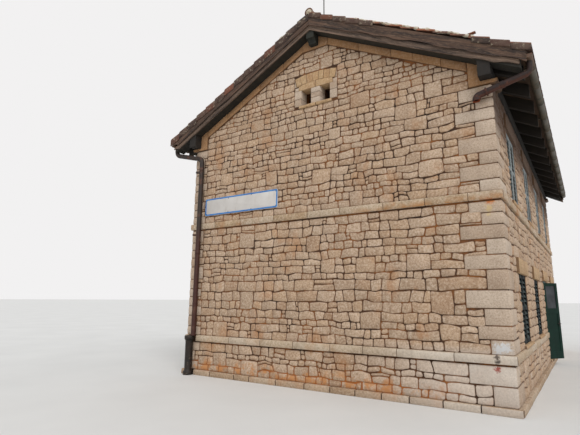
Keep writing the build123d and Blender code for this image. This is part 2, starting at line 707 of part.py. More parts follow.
# Cast-iron boot at the foot of the left pipe, with a collar at each end
with BuildPart() as drain_boot:
    with BuildSketch(Plane.XY) as profile:
        with Locations((-PIPE_X, PIPE_Y)):
            Circle(BOOT_RADIUS)
    extrude(profile.sketch, amount=BOOT_TOP)
    for low in (0, BOOT_TOP - COLLAR_HEIGHT):
        with BuildSketch(Plane.XY.offset(low)) as profile:
            with Locations((-PIPE_X, PIPE_Y)):
                Circle(COLLAR_RADIUS)
        extrude(profile.sketch, amount=COLLAR_HEIGHT)
save(drain_boot, "drain_boot")

with BuildPart() as pipe_clamps:
    ring = PIPE_RADIUS + CLAMP_THICKNESS
    for level in CLAMP_LEVELS:
        with BuildSketch(Plane.XY.offset(level)) as profile:
            with Locations((-PIPE_X, PIPE_Y)):
                Circle(ring)
            with Locations((-PIPE_X, -HALF_LENGTH - PIPE_STANDOFF / 2)):
                Rectangle(CLAMP_HEIGHT, PIPE_STANDOFF)
            with Locations((-PIPE_X, PIPE_Y)):
                Circle(PIPE_RADIUS, mode=Mode.SUBTRACT)
        extrude(profile.sketch, amount=CLAMP_HEIGHT)
save(pipe_clamps, "pipe_clamps")

# Bare name board on two battens
with BuildPart() as name_board:
    board_face = -HALF_LENGTH - BOARD_BATTEN
    with BuildSketch(Plane.XZ.offset(-board_face)) as profile:
        with Locations((BOARD_LEFT + BOARD_WIDTH / 2, BOARD_BOTTOM + BOARD_HEIGHT / 2)):
            RectangleRounded(BOARD_WIDTH, BOARD_HEIGHT, BOARD_CORNER)
    extrude(profile.sketch, amount=BOARD_THICKNESS)
save(name_board, "name_board")

with BuildPart() as board_battens:
    for x in (BOARD_LEFT + BOARD_BATTEN_INSET, BOARD_LEFT + BOARD_WIDTH - BOARD_BATTEN_INSET):
        half = BOARD_BATTEN_WIDTH / 2
        block(x - half, x + half, board_face, -HALF_LENGTH, BOARD_BOTTOM, BOARD_BOTTOM + BOARD_HEIGHT)
save(board_battens, "board_battens")

# Window frames with a middle bar, and their panes
STOREYS = (
    [(y, LOWER_SILL, LOWER_HEAD) for y in LOWER_BAYS],
    [(y, UPPER_SILL, UPPER_HEAD) for y in BAYS],
)
ALL_WINDOWS = [window for storey in STOREYS for window in storey]


def pane_places(centre, sill, head):
    """Centre points and size of the two panes beside the middle bar."""
    width = (WINDOW_WIDTH - 3 * FRAME_SIZE) / 2
    height = head - sill - 2 * FRAME_SIZE
    shift = (width + FRAME_SIZE) / 2
    level = (sill + head) / 2
    return [(centre - shift, level), (centre + shift, level)], width, height


WINDOW_FACE = HALF_WIDTH - WINDOW_DEPTH
with BuildPart() as window_frames:
    for side in (-1, 1):
        with BuildSketch(Plane.YZ.offset(side * WINDOW_FACE)) as profile:
            for centre, sill, head in ALL_WINDOWS:
                with Locations((centre, (sill + head) / 2)):
                    Rectangle(WINDOW_WIDTH, head - sill)
                places, width, height = pane_places(centre, sill, head)
                with Locations(*places):
                    Rectangle(width, height, mode=Mode.SUBTRACT)
        extrude(profile.sketch, amount=-side * FRAME_SIZE)
save(window_frames, "window_frames")

PANE_FACE = WINDOW_FACE - (FRAME_SIZE - GLASS_THICKNESS) / 2
with BuildPart() as window_panes:
    for side in (-1, 1):
        with BuildSketch(Plane.YZ.offset(side * PANE_FACE)) as profile:
            for centre, sill, head in ALL_WINDOWS:
                places, width, height = pane_places(centre, sill, head)
                with Locations(*places):
                    Rectangle(width, height)
        extrude(profile.sketch, amount=-side * GLASS_THICKNESS)
save(window_panes, "window_panes")


def shutter_leaf(side, low, high, sill, head):
    """One closed shutter leaf: stiles and rails with slanting slats housed between them."""
    face = side * HALF_WIDTH
    middle = (low + high) / 2
    inner_width = high - low - 2 * SHUTTER_STILE
    inner_height = head - sill - 2 * SHUTTER_RAIL
    with BuildSketch(Plane.YZ.offset(face)) as profile:
        with Locations((middle, (sill + head) / 2)):
            Rectangle(high - low, head - sill)
            Rectangle(inner_width, inner_height, mode=Mode.SUBTRACT)
    extrude(profile.sketch, amount=-side * SHUTTER_THICKNESS)
    slat_low = low + SHUTTER_STILE - SLAT_HOUSING
    pitch = inner_height / SLAT_ROWS
    outer_x = face - side * SLAT_THICKNESS / 2
    inner_x = face - side * (SHUTTER_THICKNESS - SLAT_THICKNESS / 2)
    with BuildSketch(Plane.XZ.offset(-slat_low)) as profile:
        for i in range(SLAT_ROWS):
            bottom = sill + SHUTTER_RAIL + i * pitch + SLAT_SPACE / 2
            top = bottom + pitch - SLAT_SPACE
            with BuildLine():
                Polyline(
                    (outer_x, bottom),
                    (inner_x, top - SLAT_THICKNESS),
                    (inner_x, top),
                    (outer_x, bottom + SLAT_THICKNESS),
                    close=True,
                )
            make_face()
    extrude(profile.sketch, amount=-(inner_width + 2 * SLAT_HOUSING))


def shutters(windows):
    """A pair of closed leaves in every opening of a storey, on both side walls."""
    edge = WINDOW_WIDTH / 2
    for side in (-1, 1):
        for centre, sill, head in windows:
            shutter_leaf(side, centre - edge, centre - SHUTTER_JOINT / 2, sill, head)
            shutter_leaf(side, centre + SHUTTER_JOINT / 2, centre + edge, sill, head)


with BuildPart() as lower_shutters:
    shutters(STOREYS[0])
save(lower_shutters, "lower_shutters")

with BuildPart() as upper_shutters:
    shutters(STOREYS[1])
save(upper_shutters, "upper_shutters")

# Double doors: the frame has posts, a head and a stop behind the leaves
LEAF_TOP = DOOR_HEAD - POST_WIDTH - LEAF_GAP
LEAF_BOTTOM = GROUND_FLOOR_TOP + LEAF_GAP
CLEAR_WIDTH = DOOR_WIDTH - 2 * POST_WIDTH
LEAF_WIDTH = (CLEAR_WIDTH - LEAF_GAP - MEETING_GAP) / 2


def door_frame(side):
    """Posts and head flush with the wall face, and the stop that the leaves close on."""
    face = side * HALF_WIDTH
    stop_depth = POST_DEPTH - LEAF_THICKNESS - LEAF_GAP
    layers = ((0, POST_DEPTH, POST_WIDTH), (POST_DEPTH - stop_depth, stop_depth, POST_WIDTH + STOP_WIDTH))
    for back, depth, width in layers:
        with BuildSketch(Plane.YZ.offset(face - side * back)) as profile:
            with Locations((DOOR_CENTRE, (GROUND_FLOOR_TOP + DOOR_HEAD) / 2)):
                Rectangle(DOOR_WIDTH, DOOR_HEAD - GROUND_FLOOR_TOP)
            with Locations((DOOR_CENTRE, (GROUND_FLOOR_TOP + DOOR_HEAD - width) / 2)):
                Rectangle(DOOR_WIDTH - 2 * width, DOOR_HEAD - GROUND_FLOOR_TOP - width, mode=Mode.SUBTRACT)
        extrude(profile.sketch, amount=-side * depth)


def door_leaf(face, low, high):
    """A leaf on a face plane: glazed above the lock rail, with a sunk panel below it."""
    middle = (low + high) / 2
    inner = high - low - 2 * LEAF_STILE
    glass_top = LEAF_TOP - LEAF_STILE
    panel_bottom = LEAF_BOTTOM + LEAF_BOTTOM_RAIL
    panel_top = LOCK_RAIL_TOP - LEAF_LOCK_RAIL
    with BuildSketch(face) as profile:
        with Locations((middle, (LEAF_BOTTOM + LEAF_TOP) / 2)):
            Rectangle(high - low, LEAF_TOP - LEAF_BOTTOM)
        with Locations((middle, (LOCK_RAIL_TOP + glass_top) / 2)):
            Rectangle(inner, glass_top - LOCK_RAIL_TOP, mode=Mode.SUBTRACT)
    extrude(profile.sketch, amount=-LEAF_THICKNESS)
    for shift, direction in ((0, -1), (-LEAF_THICKNESS, 1)):
        with BuildSketch(face.offset(shift)) as profile:
            with Locations((middle, (panel_bottom + panel_top) / 2)):
                Rectangle(inner, panel_top - panel_bottom)
        extrude(profile.sketch, amount=direction * PANEL_RECESS, mode=Mode.SUBTRACT)


def leaf_pane(face, low, high):
    """The pane of a leaf, as large as its glazed opening."""
    glass_top = LEAF_TOP - LEAF_STILE
    with BuildSketch(face.offset(-(LEAF_THICKNESS - GLASS_THICKNESS) / 2)) as profile:
        with Locations(((low + high) / 2, (LOCK_RAIL_TOP + glass_top) / 2)):
            Rectangle(high - low - 2 * LEAF_STILE, glass_top - LOCK_RAIL_TOP)
    extrude(profile.sketch, amount=-GLASS_THICKNESS)


with BuildPart() as door_frames:
    door_frame(1)
    door_frame(-1)
save(door_frames, "door_frames")

# The moving leaf hangs on pins at its near edge and stands part open
angle = radians(LEAF_OPENING)
PIN_X = HALF_WIDTH + PIN_OUT
PIN_Y = DOOR_NEAR + POST_WIDTH + LEAF_GAP / 2
along = (sin(angle), cos(angle), 0)
outward = (cos(angle), -sin(angle), 0)
pin_plane = Plane(origin=(PIN_X, PIN_Y, 0), x_dir=along, z_dir=outward)
leaf_face = pin_plane.offset(-PIN_OUT)
LEAF_LOW = LEAF_GAP / 2
LEAF_HIGH = LEAF_LOW + LEAF_WIDTH
with BuildPart() as moving_leaf:
    door_leaf(leaf_face, LEAF_LOW, LEAF_HIGH)
save(moving_leaf, "moving_leaf")

with BuildPart() as moving_leaf_pane:
    leaf_pane(leaf_face, LEAF_LOW, LEAF_HIGH)
save(moving_leaf_pane, "moving_leaf_pane")

# The other leaf is bolted shut, and so are both leaves in the left wall
FIXED_LOW = LEAF_HIGH + MEETING_GAP
FIXED_HIGH = FIXED_LOW + LEAF_WIDTH
right_face = Plane(origin=(HALF_WIDTH, PIN_Y, 0), x_dir=(0, 1, 0), z_dir=(1, 0, 0))
left_face = Plane(origin=(-HALF_WIDTH, DOOR_CENTRE, 0), x_dir=(0, -1, 0), z_dir=(-1, 0, 0))
FIXED_PLACES = (
    (right_face, FIXED_LOW, FIXED_HIGH),
    (left_face, -CLEAR_WIDTH / 2, -MEETING_GAP / 2),
    (left_face, MEETING_GAP / 2, CLEAR_WIDTH / 2),
)
with BuildPart() as fixed_leaves:
    for face, low, high in FIXED_PLACES:
        door_leaf(face, low, high)
save(fixed_leaves, "fixed_leaves")

with BuildPart() as fixed_leaf_panes:
    for face, low, high in FIXED_PLACES:
        leaf_pane(face, low, high)
save(fixed_leaf_panes, "fixed_leaf_panes")

# Hinges: pins and lower knuckles on the post, upper knuckles on the leaf
with BuildPart() as hinge_pins:
    for height in HINGE_HEIGHTS:
        with BuildSketch(Plane.XY.offset(height - KNUCKLE_HEIGHT)) as profile:
            with Locations((PIN_X, PIN_Y)):
                Circle(KNUCKLE_RADIUS)
        extrude(profile.sketch, amount=KNUCKLE_HEIGHT)
        with BuildSketch(Plane.XY.offset(height)) as profile:
            with Locations((PIN_X, PIN_Y)):
                Circle(PIN_RADIUS)
        extrude(profile.sketch, amount=KNUCKLE_HEIGHT)
        with BuildSketch(right_face) as profile:
            with Locations((-HINGE_REACH / 2, height - KNUCKLE_HEIGHT / 2)):
                Rectangle(HINGE_REACH, KNUCKLE_HEIGHT)
        extrude(profile.sketch, amount=HINGE_PLATE)
save(hinge_pins, "hinge_pins")

with BuildPart() as leaf_knuckles:
    for height in HINGE_HEIGHTS:
        low = height + PIN_CLEARANCE
        knuckle = KNUCKLE_HEIGHT - PIN_CLEARANCE
        with BuildSketch(Plane.XY.offset(low)) as profile:
            with Locations((PIN_X, PIN_Y)):
                Circle(KNUCKLE_RADIUS)
        extrude(profile.sketch, amount=knuckle)
        with BuildSketch(leaf_face) as profile:
            with Locations((HINGE_REACH / 2, low + knuckle / 2)):
                Rectangle(HINGE_REACH, knuckle)
        extrude(profile.sketch, amount=HINGE_PLATE)
        with BuildSketch(Plane.XY.offset(low)) as profile:
            with Locations((PIN_X, PIN_Y)):
                Circle(PIN_RADIUS + PIN_CLEARANCE)
        extrude(profile.sketch, amount=knuckle, mode=Mode.SUBTRACT)
save(leaf_knuckles, "leaf_knuckles")

# Lever handle near the meeting edge of the moving leaf
with BuildPart() as door_handle:
    handle_u = LEAF_HIGH - LEAF_STILE / 2
    with BuildSketch(leaf_face) as profile:
        with Locations((handle_u, HANDLE_HEIGHT)):
            Rectangle(HANDLE_PLATE_WIDTH, HANDLE_PLATE_HEIGHT)
    extrude(profile.sketch, amount=HANDLE_BAR)
    with BuildSketch(leaf_face) as profile:
        with Locations((handle_u, HANDLE_HEIGHT)):
            Circle(HANDLE_BAR)
    extrude(profile.sketch, amount=HANDLE_REACH)
    with BuildSketch(leaf_face.offset(HANDLE_REACH - 2 * HANDLE_BAR)) as profile:
        with Locations((handle_u - HANDLE_LENGTH / 2, HANDLE_HEIGHT)):
            Rectangle(HANDLE_LENGTH + 2 * HANDLE_BAR, 2 * HANDLE_BAR)
    extrude(profile.sketch, amount=2 * HANDLE_BAR)
save(door_handle, "door_handle")
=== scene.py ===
"""Dresses the stone station building: laid stones, roof tiles, timbers, louvres, paint and light.

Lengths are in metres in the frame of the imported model: X along the gable, Y along the ridge, Z up.
A wall face has its own coordinates: u along the wall as seen from outside, v up and d outwards.
"""
from functools import partial

import bpy
import numpy as np
from bpy.props import FloatProperty, FloatVectorProperty, IntProperty, PointerProperty
from mathutils import Matrix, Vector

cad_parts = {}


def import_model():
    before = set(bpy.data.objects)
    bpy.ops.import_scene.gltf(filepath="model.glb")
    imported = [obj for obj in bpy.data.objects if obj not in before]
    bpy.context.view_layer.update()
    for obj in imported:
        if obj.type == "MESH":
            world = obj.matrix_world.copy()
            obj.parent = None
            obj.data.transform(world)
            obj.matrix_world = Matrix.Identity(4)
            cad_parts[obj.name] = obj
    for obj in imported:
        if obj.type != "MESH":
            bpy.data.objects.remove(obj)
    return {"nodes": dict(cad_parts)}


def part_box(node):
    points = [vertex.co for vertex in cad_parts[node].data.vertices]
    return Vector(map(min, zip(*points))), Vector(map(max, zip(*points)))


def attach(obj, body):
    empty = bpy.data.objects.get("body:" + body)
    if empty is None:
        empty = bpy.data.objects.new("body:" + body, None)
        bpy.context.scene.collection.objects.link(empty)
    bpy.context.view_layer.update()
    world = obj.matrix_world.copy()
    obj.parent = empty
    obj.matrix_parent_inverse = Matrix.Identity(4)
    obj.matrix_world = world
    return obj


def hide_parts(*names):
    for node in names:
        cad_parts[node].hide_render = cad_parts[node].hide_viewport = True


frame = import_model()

bl_info = {
    "name": "Stone station building",
    "version": (1, 0, 0),
    "blender": (4, 5, 0),
    "location": "3D View > Sidebar > Station",
    "description": "Lays the stones, tiles and timbers of a small stone station building",
    "category": "Object",
}

UP = np.array((0.0, 0.0, 1.0))


def corners(node):
    """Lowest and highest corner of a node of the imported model, as arrays."""
    low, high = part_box(node)
    return np.array(low), np.array(high)


GABLE_LOW, GABLE_HIGH = corners("front_gable_wall")
HALF_WIDTH = GABLE_HIGH[0]
FRONT = GABLE_LOW[1]
REAR = corners("rear_gable_wall")[1][1]
FOOTING_TOP = corners("footing")[1][2]
FOOTING_PROUD = corners("footing")[1][0] - HALF_WIDTH
MOULDING_LOW, MOULDING_HIGH = (corner[2] for corner in corners("plinth_moulding"))
STRING_LOW, STRING_HIGH = (corner[2] for corner in corners("string_course"))
BAND_PROUD = corners("string_course")[1][0] - HALF_WIDTH
KNEELER_LOW = corners("kneelers")[0][2]
VERGE = corners("right_tiles")[1][1]
EAVE_EDGE = corners("right_tiles")[1][0]
SOFFIT_APEX = corners("ridge_beam")[1][2]
RIDGE_TOP = corners("ridge_tiles")[1][2]

# Repeated from the part's source, because the boxes of its nodes don't give them
ROOF_RISE = 0.518
COPING_HEIGHT = 0.18
APEX_STONE_HALF = 0.347
KNEELER_EDGE = 3.4
WINDOW_WIDTH = 1.1
WINDOW_PITCH = 2.76
DOOR_BAY = 2
DOOR_WIDTH = 1.2
DOOR_HEAD = 2.43
LOWER_OPENING = (1.0, 2.37)
UPPER_OPENING = (3.84, 5.35)
LINTEL_HEIGHT = 0.3
LINTEL_BEARING = 0.22
SILL_BEARING = 0.08
VENT_ZONE = (-0.58, 0.58, 6.29, 7.16)
TILE_BASE = 0.327
TILE_NOSE = 0.09
TILE_STEP = 0.035
TILE_COURSES = 14
SLOPE_COSINE = 1 / np.hypot(1, ROOF_RISE)
LOWER_BARGE = 0.125
BARGE_THICKNESS = 0.03
BARGE_LAP = 0.023
BOARD_FOOT = 4.45
GUTTER_RADIUS = 0.07
GUTTER_SHELL = 0.004
PIPE_RADIUS = 0.062
NECK_TOP = 0.2
NECK_BOTTOM = 0.47
SHUTTER_THICKNESS = 0.042
SHUTTER_STILE = 0.062
SHUTTER_RAIL = 0.085
SHUTTER_JOINT = 0.005
BAYS = [(i - 1.5) * WINDOW_PITCH for i in range(4)]
LOWER_BAYS = [y for i, y in enumerate(BAYS) if i != DOOR_BAY]
DOOR_CENTRE = BAYS[DOOR_BAY]
STOREYS = (("lower", LOWER_BAYS, LOWER_OPENING), ("upper", BAYS, UPPER_OPENING))

# The left pipe hangs from the gutter's outlet and stands in the boot
PIPE_LOW, PIPE_HIGH = corners("downpipe")
GUTTER_X = -PIPE_LOW[0] - PIPE_RADIUS
PIPE_X = -PIPE_HIGH[0] - PIPE_RADIUS
OUTLET_Y = PIPE_LOW[1] + PIPE_RADIUS
PIPE_Y = PIPE_HIGH[1] - PIPE_RADIUS
OUTLET_TOP = PIPE_HIGH[2]

# A wall face: its origin at ground level, the direction of u, and outwards
FACES = {
    "front": (np.array((0, FRONT, 0)), np.array((1.0, 0, 0)), np.array((0, -1.0, 0))),
    "right": (np.array((HALF_WIDTH, 0, 0)), np.array((0, 1.0, 0)), np.array((1.0, 0, 0))),
    "rear": (np.array((0, REAR, 0)), np.array((-1.0, 0, 0)), np.array((0, 1.0, 0))),
    "left": (np.array((-HALF_WIDTH, 0, 0)), np.array((0, -1.0, 0)), np.array((-1.0, 0, 0))),
}
FACE_REACH = {"front": HALF_WIDTH, "rear": HALF_WIDTH, "right": REAR, "left": REAR}
GABLES = ("front", "rear")

RIPPLE_WAVES = 6
ARC_STEPS = 7
GRAIN_SHARE = 0.06
# How far out a stone stands at each line of its grid, from rim to rim; -1 is its bed in the mortar
STONE_RISE = np.array((-1, 0.3, 0.92, 1, 0.92, 0.3, -1))
STONE_BED = -0.004
STONE_WOBBLE = 0.0035
QUOIN_SHOULDER = 0.03
QUOIN_ARRIS = 0.028
BLOCK_ARRIS = 0.008
# Stations of a bargeboard along the slope, and lines across its face
BOARD_STATIONS = 110
BOARD_LINES = 9


def soft_step(x):
    """Rises smoothly from 0 to 1 as x does: three x squared less two x cubed."""
    x = np.clip(x, 0, 1)
    return x * x * (3 - 2 * x)


def ripple(where, length, seed):
    """Smooth unevenness about -1 to 1: a sum of sine waves of about one length in random directions."""
    rng = np.random.default_rng(seed)
    turns = rng.normal(size=(RIPPLE_WAVES, where.shape[-1]))
    turns *= 2 * np.pi / length / np.linalg.norm(turns, axis=1, keepdims=True)
    turns *= rng.uniform(0.7, 1.4, (RIPPLE_WAVES, 1))
    phases = rng.uniform(0, 2 * np.pi, RIPPLE_WAVES)
    return np.sin(where @ turns.T + phases).sum(-1) / np.sqrt(RIPPLE_WAVES)


def slope_z(x, depth):
    """Height of the roof layer a square distance above the soffit plane, x from the ridge."""
    return SOFFIT_APEX - ROOF_RISE * np.abs(x) + depth / SLOPE_COSINE


def on_face(side, u, v, d):
    """Points of a wall face from arrays of u, v and d."""
    origin, along, out = FACES[side]
    return origin + u[..., None] * along + v[..., None] * UP + d[..., None] * out


class Shell:
    """Closed surfaces gathered for one piece, with a tone and a face value at each point."""

    def __init__(self):
        self.points = []
        self.tones = []
        self.faces = []
        self.polygons = []
        self.total = 0

    def add(self, points, polygons, tone, face):
        """Adds points (n, 3) and groups of polygons, each an array of point numbers in rows.

        Tone and face are one value for all the points or one value for each.
        """
        self.points.append(points.reshape(-1, 3))
        count = len(self.points[-1])
        self.tones.append(np.broadcast_to(np.ravel(tone), (count,)))
        self.faces.append(np.broadcast_to(np.ravel(face), (count,)))
        self.polygons += [group + self.total for group in polygons]
        self.total += count

    def piece(self, name, material, slot, replaced=(), body="building"):
        """Makes the object, gives it its finish and sets it on its body; the slot is not used."""
        mesh = bpy.data.meshes.new(name)
        loops = np.concatenate([group.ravel() for group in self.polygons]).astype(np.int32)
        sizes = np.concatenate([np.full(len(group), group.shape[1]) for group in self.polygons])
        mesh.vertices.add(self.total)
        mesh.vertices.foreach_set("co", np.concatenate(self.points).astype(np.float32).ravel())
        mesh.loops.add(len(loops))
        mesh.loops.foreach_set("vertex_index", loops)
        mesh.polygons.add(len(sizes))
        starts = np.concatenate(([0], np.cumsum(sizes)[:-1])).astype(np.int32)
        mesh.polygons.foreach_set("loop_start", starts)
        mesh.polygons.foreach_set("loop_total", sizes.astype(np.int32))
        for word, values in (("tone", self.tones), ("face", self.faces)):
            layer = mesh.attributes.new(word, "FLOAT", "POINT")
            layer.data.foreach_set("value", np.concatenate(values).astype(np.float32))
        mesh.update(calc_edges=True)
        mesh.validate()
        mesh.shade_smooth()
        mesh.set_sharp_from_angle(angle=np.radians(50))
        mesh.materials.append(finish(material))
        thing = bpy.data.objects.new(name, mesh)
        bpy.context.scene.collection.objects.link(thing)
        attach(thing, body)
        if replaced:
            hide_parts(*replaced)


def random_tones(rng, count, size):
    """A random tone from 0 to 1 for each of a number of shapes, given to all points of the shape."""
    return np.repeat(rng.uniform(0, 1, count), size)


def grid_quads(rows, columns):
    """Quads of a grid of points in rows, facing the viewer when columns run right and rows up."""
    first = (np.arange(rows - 1)[:, None] * columns + np.arange(columns - 1)).ravel()
    return np.stack([first, first + 1, first + 1 + columns, first + columns], axis=1)


def repeat_faces(faces, copies, stride):
    """The same polygons for each of a number of equal blocks of points."""
    return (faces + (np.arange(copies) * stride)[:, None, None]).reshape(-1, faces.shape[1])


def ring_faces(stations, ring, copies=1):
    """Sides and both ends of a ring of points carried through stations."""
    j = np.arange(ring)
    after = (j + 1) % ring
    i = np.arange(stations - 1)[:, None] * ring
    sides = np.stack([i + j, i + after, i + ring + after, i + ring + j], axis=-1).reshape(-1, 4)
    ends = np.stack([j[::-1], (stations - 1) * ring + j])
    stride = stations * ring
    return [repeat_faces(sides, copies, stride), repeat_faces(ends, copies, stride)]


def closed_ring_faces(stations, ring):
    """Sides of a ring carried round a closed path, so that the last station meets the first."""
    j = np.arange(ring)
    after = (j + 1) % ring
    i = np.arange(stations)[:, None] * ring
    following = (np.arange(stations)[:, None] + 1) % stations * ring
    return [np.stack([i + j, i + after, following + after, following + j], axis=-1).reshape(-1, 4)]


def pillows(shell, rng, side, quads, proud, radius, joint, warp=None):
    """Stones with softened edges, of 7 by 7 points, from corner quads (n, 4, 2) in u and v.

    A point is the bilinear mix of the four corners at (s, t). Its distance out rises from behind
    the wall face at the rim, through a shoulder, to a low crown in the middle.
    """
    count = len(quads)
    width, height = (
        sum(np.linalg.norm(quads[:, b] - quads[:, a], axis=1) for a, b in edges)[:, None] / 2
        for edges in (((0, 1), (3, 2)), ((0, 3), (1, 2)))
    )
    bend = np.minimum(radius * rng.uniform(0.7, 1.5, (count, 1)), 0.3 * np.minimum(width, height))
    half = joint / 2

    def stops(size):
        inner = half + bend
        middle = size * rng.uniform(0.42, 0.58, (count, 1))
        edge = np.full_like(size, half)
        return np.concatenate((edge, edge, inner, middle, size - inner, size - edge, size - edge), 1) / size

    s = np.repeat(stops(width)[:, None, :], 7, axis=1)
    t = np.repeat(stops(height)[:, :, None], 7, axis=2)
    # The lines of the grid wander inwards, each rim together with the line inside it
    wobble = rng.uniform(-0.5, 1, (count, 2, 7, 7)) * STONE_WOBBLE
    for rim, inside in ((0, 1), (-1, -2)):
        wobble[:, :, rim] = wobble[:, :, inside]
        wobble[..., rim] = wobble[..., inside]
    inwards = np.array((1, 1, 1, 0, -1, -1, -1.0))
    s = s + inwards * wobble[:, 0] / width[:, None]
    t = t + inwards[:, None] * wobble[:, 1] / height[:, None]
    # The four corners of a stone are drawn in, which rounds its outline
    ends = np.array((1, 1, 0, 0, 0, 1, 1))
    at_corner = ends[:, None] * ends
    pull = 0.32 * bend[:, None]
    s += at_corner * inwards * (pull / width[:, None])
    t += at_corner * inwards[:, None] * (pull / height[:, None])
    c = quads[:, None, None]
    s, t = s[..., None], t[..., None]
    foot = c[..., 0, :] * (1 - s) + c[..., 1, :] * s
    head = c[..., 3, :] * (1 - s) + c[..., 2, :] * s
    place = foot * (1 - t) + head * t
    if warp is not None:
        place = place + warp(place)
    profile = np.minimum(STONE_RISE[:, None], STONE_RISE)
    depth = np.where(profile < 0, STONE_BED, profile * proud[:, None, None])
    uneven = rng.normal(0, 0.0016, (count, 7, 7))
    tilt = rng.uniform(-0.03, 0.03, (count, 2, 1, 1))
    lean = tilt[:, 0] * (s[..., 0] - 0.5) * width[:, None] + tilt[:, 1] * (t[..., 0] - 0.5) * height[:, None]
    depth = depth + np.where(profile > 0.9, uneven, 0) + np.where(profile > 0, lean, 0)
    depth[:, 3, 3] += rng.uniform(0, 0.006, count)
    points = on_face(side, place[..., 0], place[..., 1], depth)
    rim = np.concatenate((np.arange(7), np.arange(13, 49, 7), np.arange(47, 41, -1), np.arange(35, 0, -7)))
    polygons = [repeat_faces(group, count, 49) for group in (grid_quads(7, 7), rim[::-1][None])]
    shade = np.tile(np.clip(profile, 0, 1).ravel(), count)
    shell.add(points, polygons, random_tones(rng, count, 49), shade)


def corner_stones(shell, rng, first, second, levels, reaches, proud, radius, joint):
    """Quoins of 7 rows of 11 points, which run along one face, round the arris and along the other.

    A point lies on the corner's plan at a distance from the arris, moved out by a depth that is
    least at the rims and greatest in the middle of both faces.
    """
    origin, along_first, out_first = FACES[first]
    along_second, out_second = FACES[second][1:]
    corner = origin + along_first * FACE_REACH[first]
    count = len(reaches)
    half = joint / 2
    ends = np.asarray(reaches) - half
    middle = (ends + radius) / 2
    bend = np.full(count, radius)
    steps = [
        np.stack((end, end, end - QUOIN_SHOULDER, centre, bend), axis=1)[:, None, :, None]
        for end, centre in zip(ends.T, middle.T)
    ]
    low, high = np.asarray(levels).T
    rows = np.stack([low + half, low + half, low + half + QUOIN_SHOULDER, (low + high) / 2,
                     high - half - QUOIN_SHOULDER, high - half, high - half], axis=1)
    across = np.array((-1, 0.3, 0.92, 1, 0.97, 0.97, 0.97, 1, 0.92, 0.3, -1))
    profile = np.minimum(STONE_RISE[:, None], across)
    depth = np.where(profile < 0, STONE_BED, profile * proud)
    depth = depth + np.where(profile > 0.9, rng.normal(0, 0.002, (count, 7, 11)), 0)
    centre = corner + radius * (along_second - along_first)
    diagonal = (out_first + out_second) / np.sqrt(2)
    points = np.zeros((count, 7, 11, 3))
    points[:, :, :5] = corner - steps[0] * along_first + depth[:, :, :5, None] * out_first
    points[:, :, 5] = centre + (radius + depth[:, :, 5, None]) * diagonal
    points[:, :, 6:] = corner + steps[1][:, :, ::-1] * along_second + depth[:, :, 6:, None] * out_second
    points[..., 2] = rows[:, :, None]
    k = np.arange(1, 9)
    back = np.stack([k, 66 + k, 67 + k, k + 1], axis=1)
    start = np.array([[1, 0, 11, 22, 33, 44, 55, 66, 67]])
    end = np.array([[10, 9, 75, 76, 65, 54, 43, 32, 21]])
    polygons = [repeat_faces(group, count, 77) for group in (grid_quads(7, 11), back, start, end)]
    shade = np.tile(np.clip(profile, 0, 1).ravel(), count)
    shell.add(points, polygons, random_tones(rng, count, 77), shade)


def courses(rng, low, high, height):
    """Uneven course levels from low to high, about one height apart."""
    count = max(1, round((high - low) / height))
    shares = rng.uniform(0.72, 1.3, count)
    return low + (high - low) * np.concatenate(([0], np.cumsum(shares) / shares.sum()))


def stacked(rng, stops, height):
    """Course levels that also pass through the given stops."""
    runs = [courses(rng, low, high, height)[:-1] for low, high in zip(stops, stops[1:])]
    return np.concatenate(runs + [[stops[-1]]])


# No stretch, stone or part of a quoin smaller than these is laid
LEAST_STRETCH = 0.04
LEAST_HEIGHT = 0.03
LEAST_WIDTH = 0.05
LEAST_WEDGE = 0.08
# Stones through two courses: one try in so much of a course, clear of others, and no taller
TRY_LENGTH = 0.9
TRY_CHANCE = 0.13
CLEAR = 0.1
TALLEST = 0.46
JOINT_LEAN = 0.06
LAYING_ERROR = 0.0042
# Where joints stop wandering: distance from the ends of a zone, from its top and foot, from a void
END_FADE = 0.7
LEVEL_FADE = 0.14
VOID_FADE = 0.2


def free_stretches(low, high, blocked):
    """What is left of low to high once the blocked stretches are taken out."""
    left = []
    start = low
    for a, b in sorted(blocked):
        if a > start:
            left.append((start, min(a, high)))
        start = max(start, b)
    left.append((start, high))
    return [(a, b) for a, b in left if b - a > LEAST_STRETCH]


def upright(a, b, low, high):
    """Corners of an upright rectangle from u = a to b, counter-clockwise from the lower left."""
    return [(a, low), (b, low), (b, high), (a, high)]


def cut_stretch(rng, start, end, low, high, breadth):
    """Cuts a free stretch of a course into stones with slightly leaning upright joints."""
    height = high - low
    edges = [start]
    while True:
        width = max(height, 0.12) * rng.uniform(0.8, 2.5) * breadth(edges[-1])
        if edges[-1] + 1.5 * width > end:
            break
        edges.append(edges[-1] + width)
    edges.append(end)
    lean = rng.normal(0, JOINT_LEAN, len(edges)) * height
    lean[0] = lean[-1] = 0
    feet, heads = edges - lean, edges + lean
    return [
        [(feet[i], low), (feet[i + 1], low), (heads[i + 1], high), (heads[i], high)]
        for i in range(len(edges) - 1)
    ]


def split_stone(rng, quad):
    """Now and then a stone is two thin ones, or has a small one beside it."""
    a, b, c, d = (np.array(p) for p in quad)
    width, height = b[0] - a[0], c[1] - a[1]
    chance = rng.uniform()
    if height > 0.17 and chance < 0.07:
        share = rng.uniform(0.3, 0.66)
        left, right = a + (d - a) * share, b + (c - b) * (share + rng.uniform(-0.08, 0.08))
        return [[a, b, right, left], [left, right, c, d]]
    if width > 0.26 and height > 0.15 and 0.07 < chance < 0.14:
        share = rng.uniform(0.68, 0.8)
        foot, head = a + (b - a) * share, d + (c - d) * share
        middle = (foot + head) / 2
        edge = (b + c) / 2
        return [[a, foot, head, d], [foot, b, edge, middle], [middle, edge, c, head]]
    return [[a, b, c, d]]


